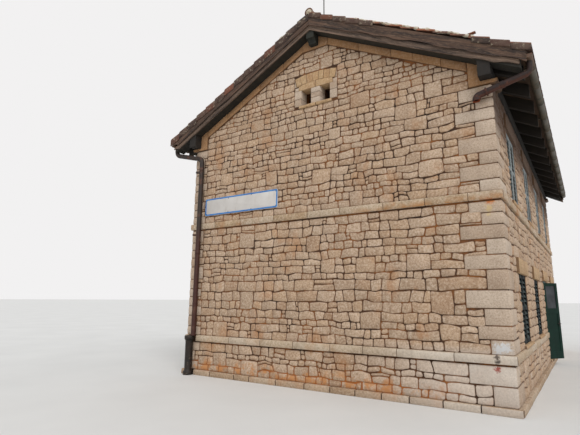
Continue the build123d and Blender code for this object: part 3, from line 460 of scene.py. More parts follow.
def fill_to_quoins(quoins, corner, sign, low, high):
    """Where a course starts beside its longest quoin, and the stones that fill up to shorter ones."""
    met = [q for q in quoins if min(q[1], high) - max(q[0], low) > LEAST_HEIGHT]
    if not met:
        return corner, []
    longest = max(q[2] for q in met)
    edge = corner + sign * longest
    quads = []
    for bottom, top, reach in met:
        bottom, top = max(bottom, low), min(top, high)
        if longest - reach > LEAST_WIDTH and top - bottom > LEAST_HEIGHT:
            quads.append(upright(*sorted((corner + sign * reach, edge)), bottom, top))
    return edge, quads


def fill_to_rake(rake, ends, low, high):
    """Where a course ends under a sloping top, and the wedge-shaped stones at both ends."""
    middle, rise = rake
    full = (middle - high) / rise
    if full >= ends[1]:
        return ends, []
    tip = min((middle - low - LEAST_WIDTH) / rise, ends[1])
    if tip - full <= LEAST_WEDGE:
        return [-full, full], []
    edge = middle - rise * tip
    return [-full, full], [
        [(full, low), (tip, low), (tip, edge), (full, high)],
        [(-tip, low), (-full, low), (-full, high), (-tip, edge)],
    ]


def tall_stones(rng, rows, reach, taken, breadth):
    """Stones through two courses at random places; each takes its stretch of both courses."""
    quads = []
    for row, (lower, upper) in enumerate(zip(rows, rows[1:])):
        low, high = max(reach[row][0], reach[row + 1][0]), min(reach[row][1], reach[row + 1][1])
        for _ in range(int((high - low) / TRY_LENGTH)):
            width = rng.uniform(0.27, 0.5)
            start = rng.uniform(low, high - width)
            if rng.uniform() > TRY_CHANCE + 1.4 * (breadth(start) - 1):
                continue
            end = start + width
            clear = all(end < a - CLEAR or start > b + CLEAR for a, b in taken[row] + taken[row + 1])
            inside = start > low + CLEAR and end < high - CLEAR
            if clear and inside and upper[1] - lower[0] < TALLEST:
                taken[row].append((start, end))
                taken[row + 1].append((start, end))
                quads.append(upright(start, end, lower[0], upper[1]))
    return quads


def lay_courses(rng, span, levels, voids=(), quoins=((), ()), rake=None, breadth=lambda u: 1.0):
    """Corner quads of all the stones of one zone of a wall.

    Each course is filled between the quoins and round the voids and the taller stones that run
    through two courses. rake is (height at the middle, rise) of a sloping top.
    """
    rows = list(zip(levels, levels[1:]))
    reach, quads = [], []
    for low, high in rows:
        ends = []
        for corner, sign, met in zip(span, (1, -1), quoins):
            end, fill = fill_to_quoins(met, corner, sign, low, high)
            ends.append(end)
            quads += fill
        if rake:
            ends, fill = fill_to_rake(rake, ends, low, high)
            quads += fill
        reach.append(ends)
    taken = [
        [(a, b) for a, b, c, d in voids if min(d, high) - max(c, low) > 0.3 * (high - low)]
        for low, high in rows
    ]
    quads += tall_stones(rng, rows, reach, taken, breadth)
    for (low, high), ends, blocked in zip(rows, reach, taken):
        for start, end in free_stretches(*ends, blocked):
            for quad in cut_stretch(rng, start, end, low, high, breadth):
                quads += split_stone(rng, quad)
    quads = np.array([[tuple(p) for p in quad] for quad in quads])
    return quads + rng.normal(0, LAYING_ERROR, quads.shape)


def wall_warp(span, low, high, voids, seed):
    """A smooth shift of the joints that fades out at the ends of a zone and round its voids."""
    def shift(place):
        u, v = place[..., 0], place[..., 1]
        fade = soft_step((u - span[0]) / END_FADE) * soft_step((span[1] - u) / END_FADE)
        free = soft_step((v - low) / LEVEL_FADE) * soft_step((high - v) / LEVEL_FADE)
        for a, b, c, d in voids:
            away = np.maximum(np.maximum(a - u, u - b), np.maximum(c - v, v - d))
            free = free * soft_step(away / VOID_FADE)
        lift = 0.018 * ripple(place, 1.15, seed) + 0.012 * ripple(place, 0.38, seed + 1)
        slide = 0.009 * ripple(place, 0.4, seed + 2)
        return np.stack([slide * fade * free, lift * fade * free], axis=-1)
    return shift


def quoin_levels(rng, low, high, height, reaches):
    """Quoins of one zone as (low, high, first reach, second reach), long and short by turns."""
    levels = courses(rng, low, high, height)
    long, short = reaches
    made = []
    for i, (bottom, top) in enumerate(zip(levels, levels[1:])):
        a, b = rng.uniform(*long), rng.uniform(*short)
        made.append((bottom, top, a, b) if i % 2 else (bottom, top, b, a))
    return made


def run_blocks(shell, rng, joints, outline, place, gap=0.006, rough=0.003):
    """Blocks in a row: an outline of (d, v) points carried along u between one joint and the next.

    The outline runs clockwise with d to the right and v up. At both ends it shrinks a little
    towards its centre, and between them ripples move it by a few millimetres.
    """
    outline = np.asarray(outline, float)
    centre = outline.mean(0)
    seen = (outline[:, 0] > 0)[None, :, None]
    shrink = np.ones(6)
    shrink[[0, -1]] = 1 - BLOCK_ARRIS / max(np.ptp(outline, axis=0).min(), BLOCK_ARRIS * 3)
    for low, high in zip(joints, joints[1:]):
        start, end = low + gap / 2, high - gap / 2
        stations = np.array((start, *np.linspace(start + BLOCK_ARRIS, end - BLOCK_ARRIS, 4), end))
        ring = centre + (outline - centre) * shrink[:, None, None]
        ring = ring + rng.normal(0, rough * 0.5, (1, 1, 2)) * seen
        u = np.broadcast_to(stations[:, None], ring.shape[:2])
        points = place(u, ring[..., 1], ring[..., 0])
        uneven = ripple(points, 0.16, 11)[..., None] * rough * seen
        outwards = place(u, ring[..., 1], ring[..., 0] + 1) - points
        points = points + outwards * uneven
        shade = np.ones(ring.shape[:2])
        shade[[0, -1]] = 0.2
        shell.add(points, ring_faces(len(stations), len(outline)), rng.uniform(), shade)


def slab(shell, rng, outline, place, back, front, soften=0.012, rough=0.002, rims=(0, 0.3)):
    """A stone of any outline (u, v), counter-clockwise, from one depth to another, with a soft rim.

    Rings of the outline move inwards along the bisectors of its corners as they come forward.
    """
    outline = np.asarray(outline, float)
    after = np.roll(outline, -1, axis=0) - outline
    before = outline - np.roll(outline, 1, axis=0)
    after /= np.linalg.norm(after, axis=1, keepdims=True)
    before /= np.linalg.norm(before, axis=1, keepdims=True)
    inward = np.stack([-(after + before)[:, 1], (after + before)[:, 0]], axis=1)
    inward /= np.linalg.norm(inward, axis=1, keepdims=True)
    spread = np.clip(1 / np.maximum((1 + (after * before).sum(1)) / 2, 0.25) ** 0.5, 1, 1.6)[:, None]
    rings = ((0, back), (0, front - soften), (0.3, front - soften * 0.3), (1, front))
    points = []
    for share, depth in rings:
        ring = outline + inward * spread * soften * share
        points.append(place(ring[:, 0], ring[:, 1], np.full(len(ring), depth)))
    points = np.stack(points)
    points[1:] += rng.normal(0, rough, points[1:].shape)
    shade = np.repeat(np.array((*rims, 0.8, 1.0))[:, None], len(outline), axis=1)
    shell.add(points, ring_faces(4, len(outline)), rng.uniform(), shade)


def rounded_route(route, radius):
    """Straight runs joined by arcs: a circle tangent to both runs takes the place of each corner."""
    route = np.asarray(route, float)
    made = [route[:1]]
    for before, at, after in zip(route, route[1:], route[2:]):
        back = (before - at) / np.linalg.norm(before - at)
        on = (after - at) / np.linalg.norm(after - at)
        half = np.arccos(np.clip(back @ on, -1, 1)) / 2
        centre = at + (back + on) / np.linalg.norm(back + on) * radius / np.sin(half)
        start, end = (at + way * radius / np.tan(half) - centre for way in (back, on))
        sweep = np.pi - 2 * half
        t = np.linspace(0, 1, ARC_STEPS)[:, None]
        made.append(centre + (start * np.sin((1 - t) * sweep) + end * np.sin(t * sweep)) / np.sin(sweep))
    return np.concatenate(made + [route[-1:]])


def tube(shell, route, radii, sides, rough=0.0, mouth=0.0):
    """A round pipe: circles square to the route, turned as little as possible from one to the next.

    A mouth adds the rim of an open end and a bore of that depth.
    """
    route = np.asarray(route, float)
    radii = np.broadcast_to(radii, len(route))
    tangent = np.gradient(route, axis=0)
    tangent /= np.linalg.norm(tangent, axis=1, keepdims=True)
    normal = np.zeros_like(route)
    ahead = np.array((0.31, 0.87, 0.22))
    for i, way in enumerate(tangent):
        ahead = ahead - way * (ahead @ way)
        ahead /= np.linalg.norm(ahead)
        normal[i] = ahead
    across = np.cross(tangent, normal)
    turn = np.linspace(0, 2 * np.pi, sides, endpoint=False)[:, None]
    ring = normal[:, None] * np.cos(turn) + across[:, None] * np.sin(turn)
    points = route[:, None] + ring * radii[:, None, None]
    points = points + ring * rough * ripple(points, 0.13, 5)[..., None]
    shade = np.ones(points.shape[:2])
    if mouth:
        rim = route[-1] + (points[-1] - route[-1]) * 0.88
        points = np.concatenate((points, rim[None], rim[None] - tangent[-1] * mouth))
        # The bore gets a face value of 0; the rusty finish paints it dark as painted shade inside the pipe
        shade = np.concatenate((shade, [np.full(sides, 0.5), np.zeros(sides)]))
    shell.add(points, ring_faces(len(points), sides), 0.5, shade)


def bars(shell, rng, boxes, place, along, chamfer=0.004):
    """Squared bars with their edges planed off, from boxes (n, 2, 3) in a face's u, v and d.

    An eight-sided ring is carried along one axis and drawn in by the chamfer at both ends.
    """
    low, high = np.moveaxis(np.asarray(boxes, float), 1, 0)
    order = [along, (along + 1) % 3, (along + 2) % 3]
    half = (high - low)[:, order] / 2
    cut = np.minimum(chamfer, 0.45 * half.min(1))[:, None, None]
    sign = np.array(((1, -1), (1, 1), (1, 1), (-1, 1), (-1, 1), (-1, -1), (-1, -1), (1, -1.0)))
    share = np.array(((0, 1), (0, 1), (1, 0), (1, 0), (0, 1), (0, 1), (1, 0), (1, 0.0)))
    ring = sign * (half[:, None, 1:] - share * cut)
    drawn = sign * (half[:, None, 1:] - (0.8 + 0.6 * share) * cut)
    reach, soft = half[:, :1], cut[:, 0]
    run = np.concatenate((-reach, soft - reach, reach - soft, reach), axis=1)
    local = np.zeros((len(half), 4, 8, 3))
    local[..., order[0]] = run[:, :, None]
    local[..., order[1:]] = np.stack((drawn, ring, ring, drawn), axis=1)
    local += ((low + high) / 2)[:, None, None]
    points = place(*np.moveaxis(local, -1, 0))
    shell.add(points, ring_faces(4, 8, len(half)), random_tones(rng, len(half), 32), 1.0)


def slats(shell, rng, low, high, levels, place, outer, inner, rise, thickness):
    """Slanting slats from u = low to high: a thin six-sided ring that rises inwards, one to a level."""
    half = thickness / 2
    ring = np.array((
        (outer + half, 0), (outer, -half), (inner, rise - half),
        (inner - half, rise), (inner, rise + half), (outer, half),
    ))
    count = len(levels)
    levels = np.asarray(levels)[:, None, None] + rng.normal(0, 0.0012, (count, 1, 1))
    v = levels + ring[:, 1] + rng.normal(0, 0.001, (count, 2, 1))
    u = np.broadcast_to(np.array((low, high))[:, None], v.shape)
    d = np.broadcast_to(ring[:, 0], v.shape)
    shell.add(place(u, v, d), ring_faces(2, 6, count), random_tones(rng, count, 12), 0.0)


def rounded_outline(low, high, radius):
    """A rectangle, counter-clockwise: quarter circles about points a radius inside its corners."""
    (left, foot), (right, head) = np.asarray(low) + radius, np.asarray(high) - radius
    turn = np.linspace(0, np.pi / 2, 5)
    made = []
    for i, centre in enumerate(((right, head), (left, head), (left, foot), (right, foot))):
        angle = turn + i * np.pi / 2
        made.append(centre + radius * np.stack([np.cos(angle), np.sin(angle)], axis=1))
    return np.concatenate(made)


def world(x, y, z):
    """Points from their own X, Y and Z."""
    return np.stack(np.broadcast_arrays(x, y, z), axis=-1)


def weathered_board(shell, rng, side, facing, reach, depths, edges, bites, grooves=0.0025):
    """A bargeboard up one slope, with grooves in its face and bites out of its lower edge.

    Its points have a place along the slope, x, and a depth over the soffit plane. The foot's depth
    rises by bell curves of the distance from each bite; the face moves by ripples drawn out in x.
    """
    x = np.linspace(0.0005, reach, BOARD_STATIONS)
    foot = depths[0] + 0.004 * np.abs(ripple(x[:, None], 0.35, int(rng.integers(99))))
    for centre, width, depth in bites:
        foot = foot + depth * np.exp(-((x - centre) / width) ** 4)
    share = np.linspace(1, 0, BOARD_LINES)
    depth = foot[:, None] + (depths[1] - foot)[:, None] * np.concatenate(([0, 1], share))
    spread = np.broadcast_to(x[:, None], depth.shape)
    ragged = rng.uniform(0, 0.022, depth.shape[1])
    spread = spread - ragged * np.clip((x / reach)[:, None], 0, 1) ** 30
    inner, outer = edges
    y = facing * np.tile((inner, inner, *[outer] * BOARD_LINES), (len(x), 1))
    where = np.stack([spread * 0.1, depth], axis=-1)
    carved = grooves * (1 + ripple(where, 0.05, int(rng.integers(99))))
    # The back and the rims of the face stay smooth
    y -= facing * (carved * np.array((0, 0, 0, *[1] * (BOARD_LINES - 2), 0)))
    points = world(side * spread, y, slope_z(spread, depth))
    faces = ring_faces(len(x), depth.shape[1])
    if side * facing > 0:
        faces = [group[:, ::-1] for group in faces]
    shell.add(points, faces, rng.uniform(), 1.0)


def rounded_bar(proud, low, high, radius, bed=0.02):
    """Outline of a band of stone: clockwise from its top back edge, with a round upper arris."""
    turn = np.linspace(0, np.pi / 2, 5)
    arris = np.stack([proud - radius + radius * np.sin(turn), high - radius + radius * np.cos(turn)], axis=1)
    foot = min(0.006, radius)
    return np.concatenate((
        [(-bed, high)], arris, [(proud, low + foot), (proud - foot, low), (-bed, low)],
    ))


class Paint:
    """A material's nodes, added one call at a time. Every pattern reads the object's own coordinates."""

    def __init__(self, name):
        self.material = bpy.data.materials.new(name)
        self.material.use_nodes = True
        self.tree = self.material.node_tree
        self.shader = self.tree.nodes["Principled BSDF"]
        start = self.tree.nodes.new("ShaderNodeTexCoord").outputs
        self.coords, self.normal = start["Object"], start["Normal"]

    def node(self, kind, inputs=(), **settings):
        """Adds a node, sets it, and then fills its inputs, given by name or number."""
        made = self.tree.nodes.new("ShaderNode" + kind)
        for key, value in settings.items():
            setattr(made, key, value)
        for key, value in dict(inputs).items():
            self.put(value, made.inputs[key])
        return made

    def put(self, value, socket):
        """Links a value to an input, or sets the input's constant."""
        if isinstance(value, bpy.types.NodeSocket):
            self.tree.links.new(value, socket)
        else:
            socket.default_value = value

    def stretched(self, x, y, z):
        """Object coordinates scaled by a factor on each axis."""
        return self.node("Mapping", {"Vector": self.coords, "Scale": (x, y, z)}).outputs[0]

    def noise(self, scale, detail, rough, coords=None):
        """Cloudy values about 0.5 with a scale in cycles per metre."""
        inputs = {"Vector": coords or self.coords, "Scale": scale, "Detail": detail, "Roughness": rough}
        return self.node("TexNoise", inputs).outputs["Fac"]

    def cells(self, scale):
        """The distance to the nearest of many scattered points."""
        return self.node("TexVoronoi", {"Vector": self.coords, "Scale": scale}).outputs["Distance"]

    def value(self, name):
        """The tone or the face value that a shell gives its points."""
        return self.node("Attribute", attribute_name=name).outputs["Fac"]

    def math(self, operation, *values):
        """One step of arithmetic."""
        return self.node("Math", enumerate(values), operation=operation).outputs[0]

    def span(self, value, low, high):
        """Where a value lies between two limits, from 0 to 1 and held there."""
        inputs = {"Value": value, "From Min": low, "From Max": high}
        return self.node("MapRange", inputs, interpolation_type="SMOOTHSTEP").outputs[0]

    def ramp(self, value, *stops):
        """A colour for each place between 0 and 1; colours are sRGB triples from 0 to 255."""
        made = self.node("ValToRGB", {"Fac": value})
        elements = made.color_ramp.elements
        while len(elements) < len(stops):
            elements.new(0.5)
        for element, (place, colour) in zip(elements, stops):
            element.position = place
            element.color = linear(colour)
        return made.outputs["Color"]

    def mix(self, share, a, b, blend="MIX"):
        """The second colour over the first by a share; either may be an sRGB triple."""
        a, b = (linear(c) if isinstance(c, tuple) else c for c in (a, b))
        inputs = {0: share, 6: a, 7: b}
        return self.node("Mix", inputs, data_type="RGBA", blend_type=blend).outputs[2]

    def axis(self, name):
        """The X, Y or Z of the point being shaded."""
        return self.node("SeparateXYZ", {0: self.coords}).outputs[name]

    def facing(self, name):
        """How far the surface looks along an axis, from -1 to 1."""
        return self.node("SeparateXYZ", {0: self.normal}).outputs[name]

    def times(self, *factors):
        """The product of several values."""
        product = factors[0]
        for factor in factors[1:]:
            product = self.math("MULTIPLY", product, factor)
        return product

    def spot(self, centre, radius):
        """1 near a point, falling to 0 at a radius; its outline is ragged."""
        away = self.node("VectorMath", {0: self.coords, 1: centre}, operation="DISTANCE").outputs["Value"]
        ragged = self.math("MULTIPLY_ADD", self.noise(24.0, 6.0, 0.75), 3 * radius, -1.5 * radius)
        return self.span(self.math("ADD", away, ragged), radius, radius * 0.35)

    def along_ridge(self):
        """Coordinates that draw a pattern out along Y."""
        return self.stretched(1, GRAIN_SHARE, 1)

    def along_slope(self):
        """Coordinates along the slope, along the ridge and square to the roof, on either slope.

        The first is shrunk, so that a pattern is drawn out up the slope.
        """
        x = self.math("ABSOLUTE", self.axis("X"))
        z = self.axis("Z")
        sine = ROOF_RISE * SLOPE_COSINE
        run = self.times(x, SLOPE_COSINE * GRAIN_SHARE)
        along = self.math("SUBTRACT", run, self.times(z, sine * GRAIN_SHARE))
        square = self.math("ADD", self.times(x, sine), self.times(z, SLOPE_COSINE))
        inputs = {"X": along, "Y": self.axis("Y"), "Z": square}
        return self.node("CombineXYZ", inputs).outputs[0]

    def done(self, colour, rough, bump=None, strength=0.4, distance=0.01, metallic=0.0):
        """Sets the shader's sockets and returns the material."""
        self.put(colour, self.shader.inputs["Base Color"])
        self.put(rough, self.shader.inputs["Roughness"])
        self.shader.inputs["Metallic"].default_value = metallic
        if bump is not None:
            inputs = {"Height": bump, "Strength": strength, "Distance": distance}
            self.put(self.node("Bump", inputs).outputs[0], self.shader.inputs["Normal"])
        return self.material


def linear(colour):
    """An sRGB triple from 0 to 255 as Blender's linear colour."""
    c = np.array(colour[:3]) / 255
    c = np.where(c <= 0.04045, c / 12.92, ((c + 0.055) / 1.055) ** 2.4)
    return (*(float(x) for x in c), 1.0)


# Rust, lime and soot that show at the front's right edge: centre, radius and colour
SPOTS = (
    ((3.6, FRONT, 3.59), 0.09, (200, 106, 30)),
    ((3.66, FRONT, 3.57), 0.06, (206, 120, 40)),
    ((3.59, FRONT, 3.46), 0.08, (206, 178, 130)),
    ((3.58, FRONT, 3.34), 0.06, (206, 180, 136)),
    ((3.57, FRONT, 1.05), 0.13, (212, 211, 210)),
    ((3.68, FRONT, 1.06), 0.11, (212, 211, 210)),
    ((3.54, FRONT - BAND_PROUD, 0.91), 0.055, (62, 44, 36)),
    ((3.54, FRONT - BAND_PROUD, 0.84), 0.055, (48, 34, 30)),
    ((3.53, FRONT - BAND_PROUD, 0.77), 0.05, (60, 34, 28)),
    ((3.53, FRONT, 0.71), 0.07, (150, 44, 28)),
)


def weathering(paint, base, stones=True):
    """Marks of damp and rain, and painted shade under the eaves, each laid over the base by a product of
    limits in X, Y and Z.

    The side walls are brown under the eaves, partly stain and partly painted shade. The front is orange with
    damp low down and, on its stones only, paler low at the right, with a rusty string course and the spots.
    """
    z = paint.axis("Z")
    x = paint.axis("X")
    front = paint.span(paint.facing("Y"), -0.3, -0.7)
    across, along = paint.math("ABSOLUTE", x), paint.math("ABSOLUTE", paint.axis("Y"))
    sides = paint.span(across, HALF_WIDTH - 0.3, HALF_WIDTH - 0.2)
    sides = paint.times(sides, paint.span(along, REAR + 0.004, REAR - 0.02))
    uneven = paint.noise(3.4, 5.0, 0.65)
    level = paint.math("MULTIPLY_ADD", uneven, 0.5, z)
    # Painted shade of the eaves, mixed with brown stain, darkens the tops of the side walls
    eave_shade_and_stain = paint.times(sides, paint.span(level, 4.75, 5.6), 0.93)
    base = paint.mix(eave_shade_and_stain, base, (74, 51, 36))
    above_footing = paint.span(z, FOOTING_TOP - 0.01, FOOTING_TOP + 0.01)
    low = paint.times(front, paint.span(z, 0.5, 0.25), above_footing, paint.span(x, 3.4, 1.6))
    if not stones:
        return paint.mix(paint.times(low, 0.85), base, (172, 100, 44))
    pale = paint.times(front, paint.span(x, 0.6, 3.2), paint.span(z, 1.1, 0.9), 0.38)
    base = paint.mix(pale, base, (226, 220, 212))
    string = paint.times(paint.span(z, STRING_LOW - 0.06, STRING_LOW), paint.span(z, STRING_HIGH, STRING_LOW))
    rust = paint.times(front, string, paint.span(x, 0.3, 1.8), paint.span(uneven, 0.38, 0.6), 0.85)
    base = paint.mix(rust, base, (182, 128, 74))
    damp = paint.times(low, paint.span(uneven, 0.5, 0.62), 0.85)
    base = paint.mix(damp, base, (192, 130, 74))
    for centre, radius, colour in SPOTS:
        base = paint.mix(paint.times(paint.spot(centre, radius), 0.85), base, colour)
    return base


def stone(paint, tones, stain, edge, grain=38.0, stain_share=0.5, hewn_share=0.75):
    """Cut or squared stone: one tone a stone, clouds, pits, rusty streaks and painted shade at the rims, in
    the edge colour.
    """
    face = paint.value("face")
    base = paint.ramp(paint.value("tone"), *[(i / (len(tones) - 1), c) for i, c in enumerate(tones)])
    clouds = paint.noise(3.1, 5.0, 0.6)
    fine = paint.noise(grain, 6.0, 0.75)
    coarse = paint.noise(grain * 0.62, 6.0, 0.74)
    pits = paint.span(paint.cells(grain * 1.1), 0.06, 0.3)
    clouds = paint.ramp(clouds, (0.3, (200, 190, 180)), (0.7, (255, 253, 250)))
    base = paint.mix(0.5, base, clouds, "MULTIPLY")
    hewn = paint.ramp(coarse, (0.38, (198, 185, 172)), (0.5, (250, 248, 246)), (0.7, (255, 255, 255)))
    base = paint.mix(hewn_share, base, hewn, "MULTIPLY")
    base = paint.mix(paint.times(paint.span(coarse, 0.5, 0.64), 0.45 * hewn_share), base, (234, 218, 200))
    base = paint.mix(paint.times(paint.span(fine, 0.48, 0.3), 0.5), base, (112, 90, 70))
    streaks = paint.noise(1.7, 5.0, 0.65, paint.stretched(1, 1, 0.7))
    base = paint.mix(paint.times(paint.span(streaks, 0.52, 0.7), stain_share), base, stain)
    base = weathering(paint, base)
    # Painted light: a face value above 1 lightens the reveals of the vents, as if lit deep into the openings
    base = paint.mix(paint.times(paint.span(face, 1.1, 1.5), 0.75), base, (255, 244, 226))
    # Painted shade: where the face value is low, at a stone's rims by the joints and on its sides, it darkens
    # to the edge colour
    base = paint.mix(paint.times(paint.span(face, 0.62, 0.12), 0.8), base, edge)
    relief = paint.math("ADD", paint.times(fine, 0.6), paint.times(pits, 0.35))
    return paint.done(base, 0.88, paint.math("ADD", relief, coarse), 0.8, 0.02)


def earth(paint):
    """Earth mortar: brown with orange clouds."""
    clouds = paint.noise(2.2, 5.0, 0.6)
    fine = paint.noise(60.0, 5.0, 0.7)
    base = paint.ramp(clouds, (0.36, (54, 36, 24)), (0.5, (86, 54, 31)), (0.62, (146, 90, 44)))
    base = paint.mix(paint.times(fine, 0.35), base, (40, 28, 20))
    return paint.done(weathering(paint, base, False), 0.95, fine, 0.6, 0.01)


def lime(paint):
    """Lime mortar: pale with grey clouds and dark pits."""
    clouds = paint.noise(9.0, 5.0, 0.65)
    fine = paint.noise(70.0, 5.0, 0.7)
    base = paint.ramp(clouds, (0.3, (138, 120, 96)), (0.46, (196, 184, 162)), (0.7, (224, 216, 200)))
    base = paint.mix(paint.times(paint.span(fine, 0.5, 0.3), 0.6), base, (84, 70, 56))
    return paint.done(base, 0.92, fine, 0.7, 0.01)


def timber(paint, dark, light, coords=Paint.along_ridge, grain=9.0, bump=0.35, spread=0.2, wear_and_highlight=None):
    """Weathered wood: streaks drawn out along the grain over soft clouds of dirt; pale fibres may add
    weathered grain and a painted highlight.
    """
    coords = coords(paint)
    streaks = paint.noise(grain, 6.0, 0.7, coords)
    fibres = paint.noise(grain * 7, 4.0, 0.7, coords)
    clouds = paint.noise(1.3, 4.0, 0.6)
    base = paint.ramp(streaks, (0.5 - spread, dark), (0.5 + spread, light))
    base = paint.mix(paint.times(fibres, 0.4), base, tuple(int(c * 0.6) for c in dark))
    # Pale fibres along the grain: weathered wood and painted highlight where the boards catch the light
    if wear_and_highlight:
        base = paint.mix(paint.times(paint.span(fibres, 0.52, 0.68), 0.6), base, wear_and_highlight)
    dirt = paint.ramp(clouds, (0.3, (150, 146, 140)), (0.7, (255, 252, 248)))
    base = paint.mix(0.4, base, dirt, "MULTIPLY")
    return paint.done(base, 0.82, paint.math("ADD", streaks, fibres), bump, 0.008)


def clay(paint, *tones):
    """Fired clay: one tone a tile, soot, lichen and painted shade at the rims."""
    base = paint.ramp(paint.value("tone"), *zip((0.0, 0.35, 0.62, 0.84, 1.0), tones))
    clouds = paint.noise(4.0, 5.0, 0.65)
    fine = paint.noise(55.0, 5.0, 0.7)
    base = paint.mix(paint.times(paint.span(clouds, 0.44, 0.62), 0.8), base, (92, 72, 60))
    lichen = paint.times(paint.span(paint.noise(13.0, 6.0, 0.7), 0.54, 0.66), 0.7)
    base = paint.mix(lichen, base, (160, 148, 126))
    # Painted shade: the undersides and nose ends of the tiles, with low face values, are darkened
    base = paint.mix(paint.times(paint.span(paint.value("face"), 0.6, 0.1), 0.7), base, (60, 44, 36))
    return paint.done(base, 0.85, fine, 0.5, 0.008)


def gutter_metal(paint):
    """Dull painted sheet, rustier towards the front."""
    clouds = paint.noise(4.0, 6.0, 0.7)
    fine = paint.noise(60.0, 4.0, 0.6)
    rust = (0.72, (112, 68, 42))
    base = paint.ramp(clouds, (0.32, (54, 50, 41)), (0.5, (82, 77, 64)), (0.62, (96, 82, 64)), rust)
    front = paint.span(paint.axis("Y"), -5.6, -6.3)
    base = paint.mix(paint.times(front, paint.span(fine, 0.4, 0.6), 0.8), base, (112, 72, 54))
    return paint.done(base, 0.62, fine, 0.35, 0.004, 0.25)


def pipe_paint(paint):
    """Brown paint that turns red low down, with pale and sooty patches."""
    patches = paint.noise(6.5, 6.0, 0.7)
    fine = paint.noise(60.0, 4.0, 0.6)
    low = paint.span(paint.axis("Z"), 3.9, 3.2)
    base = paint.mix(low, (46, 36, 30), (62, 30, 21))
    base = paint.mix(paint.span(patches, 0.52, 0.66), base, (82, 52, 37))
    base = paint.mix(paint.times(paint.span(patches, 0.44, 0.3), 0.7), base, (32, 25, 21))
    return paint.done(base, 0.6, fine, 0.3, 0.004, 0.2)


def rusty_iron(paint):
    """Flaking paint over rust: orange on the rim of the mouth, and painted shade dark in its bore."""
    patches = paint.noise(9.0, 6.0, 0.7)
    fine = paint.noise(80.0, 4.0, 0.7)
    face = paint.value("face")
    flakes = (0.75, (150, 100, 66))
    base = paint.ramp(patches, (0.36, (30, 22, 20)), (0.54, (50, 31, 26)), (0.66, (88, 48, 32)), flakes)
    base = paint.mix(paint.times(paint.span(paint.facing("Z"), -0.2, -0.8), 0.35), base, (110, 58, 32))
    base = paint.mix(paint.times(paint.span(face, 0.9, 0.5), 0.8), base, (178, 84, 40))
    # Painted shade: the bore, with a face value of 0, is dark as a deep hole would be
    base = paint.mix(paint.times(paint.span(face, 0.4, 0.1), 0.9), base, (24, 16, 12))
    return paint.done(base, 0.75, fine, 0.5, 0.006, 0.1)


def cast_iron(paint):
    """Dark iron with rusty patches and pale splashes."""
    patches = paint.noise(8.0, 6.0, 0.7)
    fine = paint.noise(75.0, 4.0, 0.65)
    base = paint.ramp(patches, (0.35, (24, 21, 19)), (0.6, (44, 35, 28)), (0.72, (84, 56, 38)))
    pale = paint.times(paint.span(paint.noise(16.0, 4.0, 0.6), 0.62, 0.7), 0.8)
    base = paint.mix(pale, base, (132, 122, 106))
    return paint.done(base, 0.55, fine, 0.4, 0.004, 0.3)


def clouded(paint, scale, first, second, values, detail=5.0, rough=0.6):
    """Two colours in clouds of one noise; values are the roughness and those of the bump."""
    clouds = paint.noise(scale, detail, rough)
    base = paint.ramp(clouds, first, second)
    return paint.done(base, values[0], clouds, *values[1:])


def paintwork(paint, colour, wear_and_highlight, dirt, worn_share=0.5, rough=0.6, slat=None):
    """Old paint on wood: faded patches, rubbed grain and dirt drawn down the boards.

    Slats, which have a face value of 0, may have a colour of their own, which is painted light and shade on
    the slats.
    """
    clouds = paint.noise(3.5, 5.0, 0.6)
    streaks = paint.noise(14.0, 5.0, 0.7, paint.stretched(1, 1, 0.12))
    fine = paint.noise(90.0, 4.0, 0.6, paint.stretched(1, 1, 0.3))
    base = paint.mix(paint.times(paint.span(clouds, 0.42, 0.68), worn_share), colour, wear_and_highlight)
    base = paint.mix(paint.times(paint.span(streaks, 0.52, 0.7), 0.6), base, dirt)
    if slat:
        base = paint.mix(paint.times(paint.span(paint.value("face"), 0.6, 0.4), 0.75), base, slat)
    paint.shader.inputs["Specular IOR Level"].default_value = 0.25
    return paint.done(base, rough, fine, 0.25, 0.003)


def dusty_glass(paint):
    """Dark glass, rougher and paler where dust lies."""
    dust = paint.noise(4.0, 5.0, 0.6)
    base = paint.ramp(dust, (0.35, (36, 39, 42)), (0.65, (66, 69, 72)))
    rough = paint.math("MULTIPLY_ADD", dust, 0.3, 0.5)
    paint.shader.inputs["Specular IOR Level"].default_value = 0.4
    return paint.done(base, rough, dust, 0.05, 0.002)


def enamel(paint):
    """Pale enamel with runs of dirt and rusty chips."""
    clouds = paint.noise(2.4, 5.0, 0.6)
    chips = paint.span(paint.noise(22.0, 6.0, 0.7), 0.68, 0.72)
    runs = paint.noise(10.0, 5.0, 0.7, paint.stretched(1, 1, 0.15))
    base = paint.ramp(clouds, (0.3, (192, 186, 180)), (0.7, (208, 203, 197)))
    base = paint.mix(paint.times(paint.span(runs, 0.55, 0.75), 0.35), base, (164, 146, 124))
    base = paint.mix(chips, base, (120, 82, 56))
    return paint.done(base, 0.32, clouds, 0.08, 0.003)


def studio_floor(paint):
    """A pale matt floor."""
    base = paint.ramp(paint.noise(0.5, 3.0, 0.5), (0.3, (216, 214, 210)), (0.7, (222, 220, 216)))
    return paint.done(base, 0.9)


RUBBLE_TONES = (
    (184, 153, 124), (202, 173, 144), (189, 164, 139), (210, 184, 158), (194, 168, 143), (200, 170, 139),
)
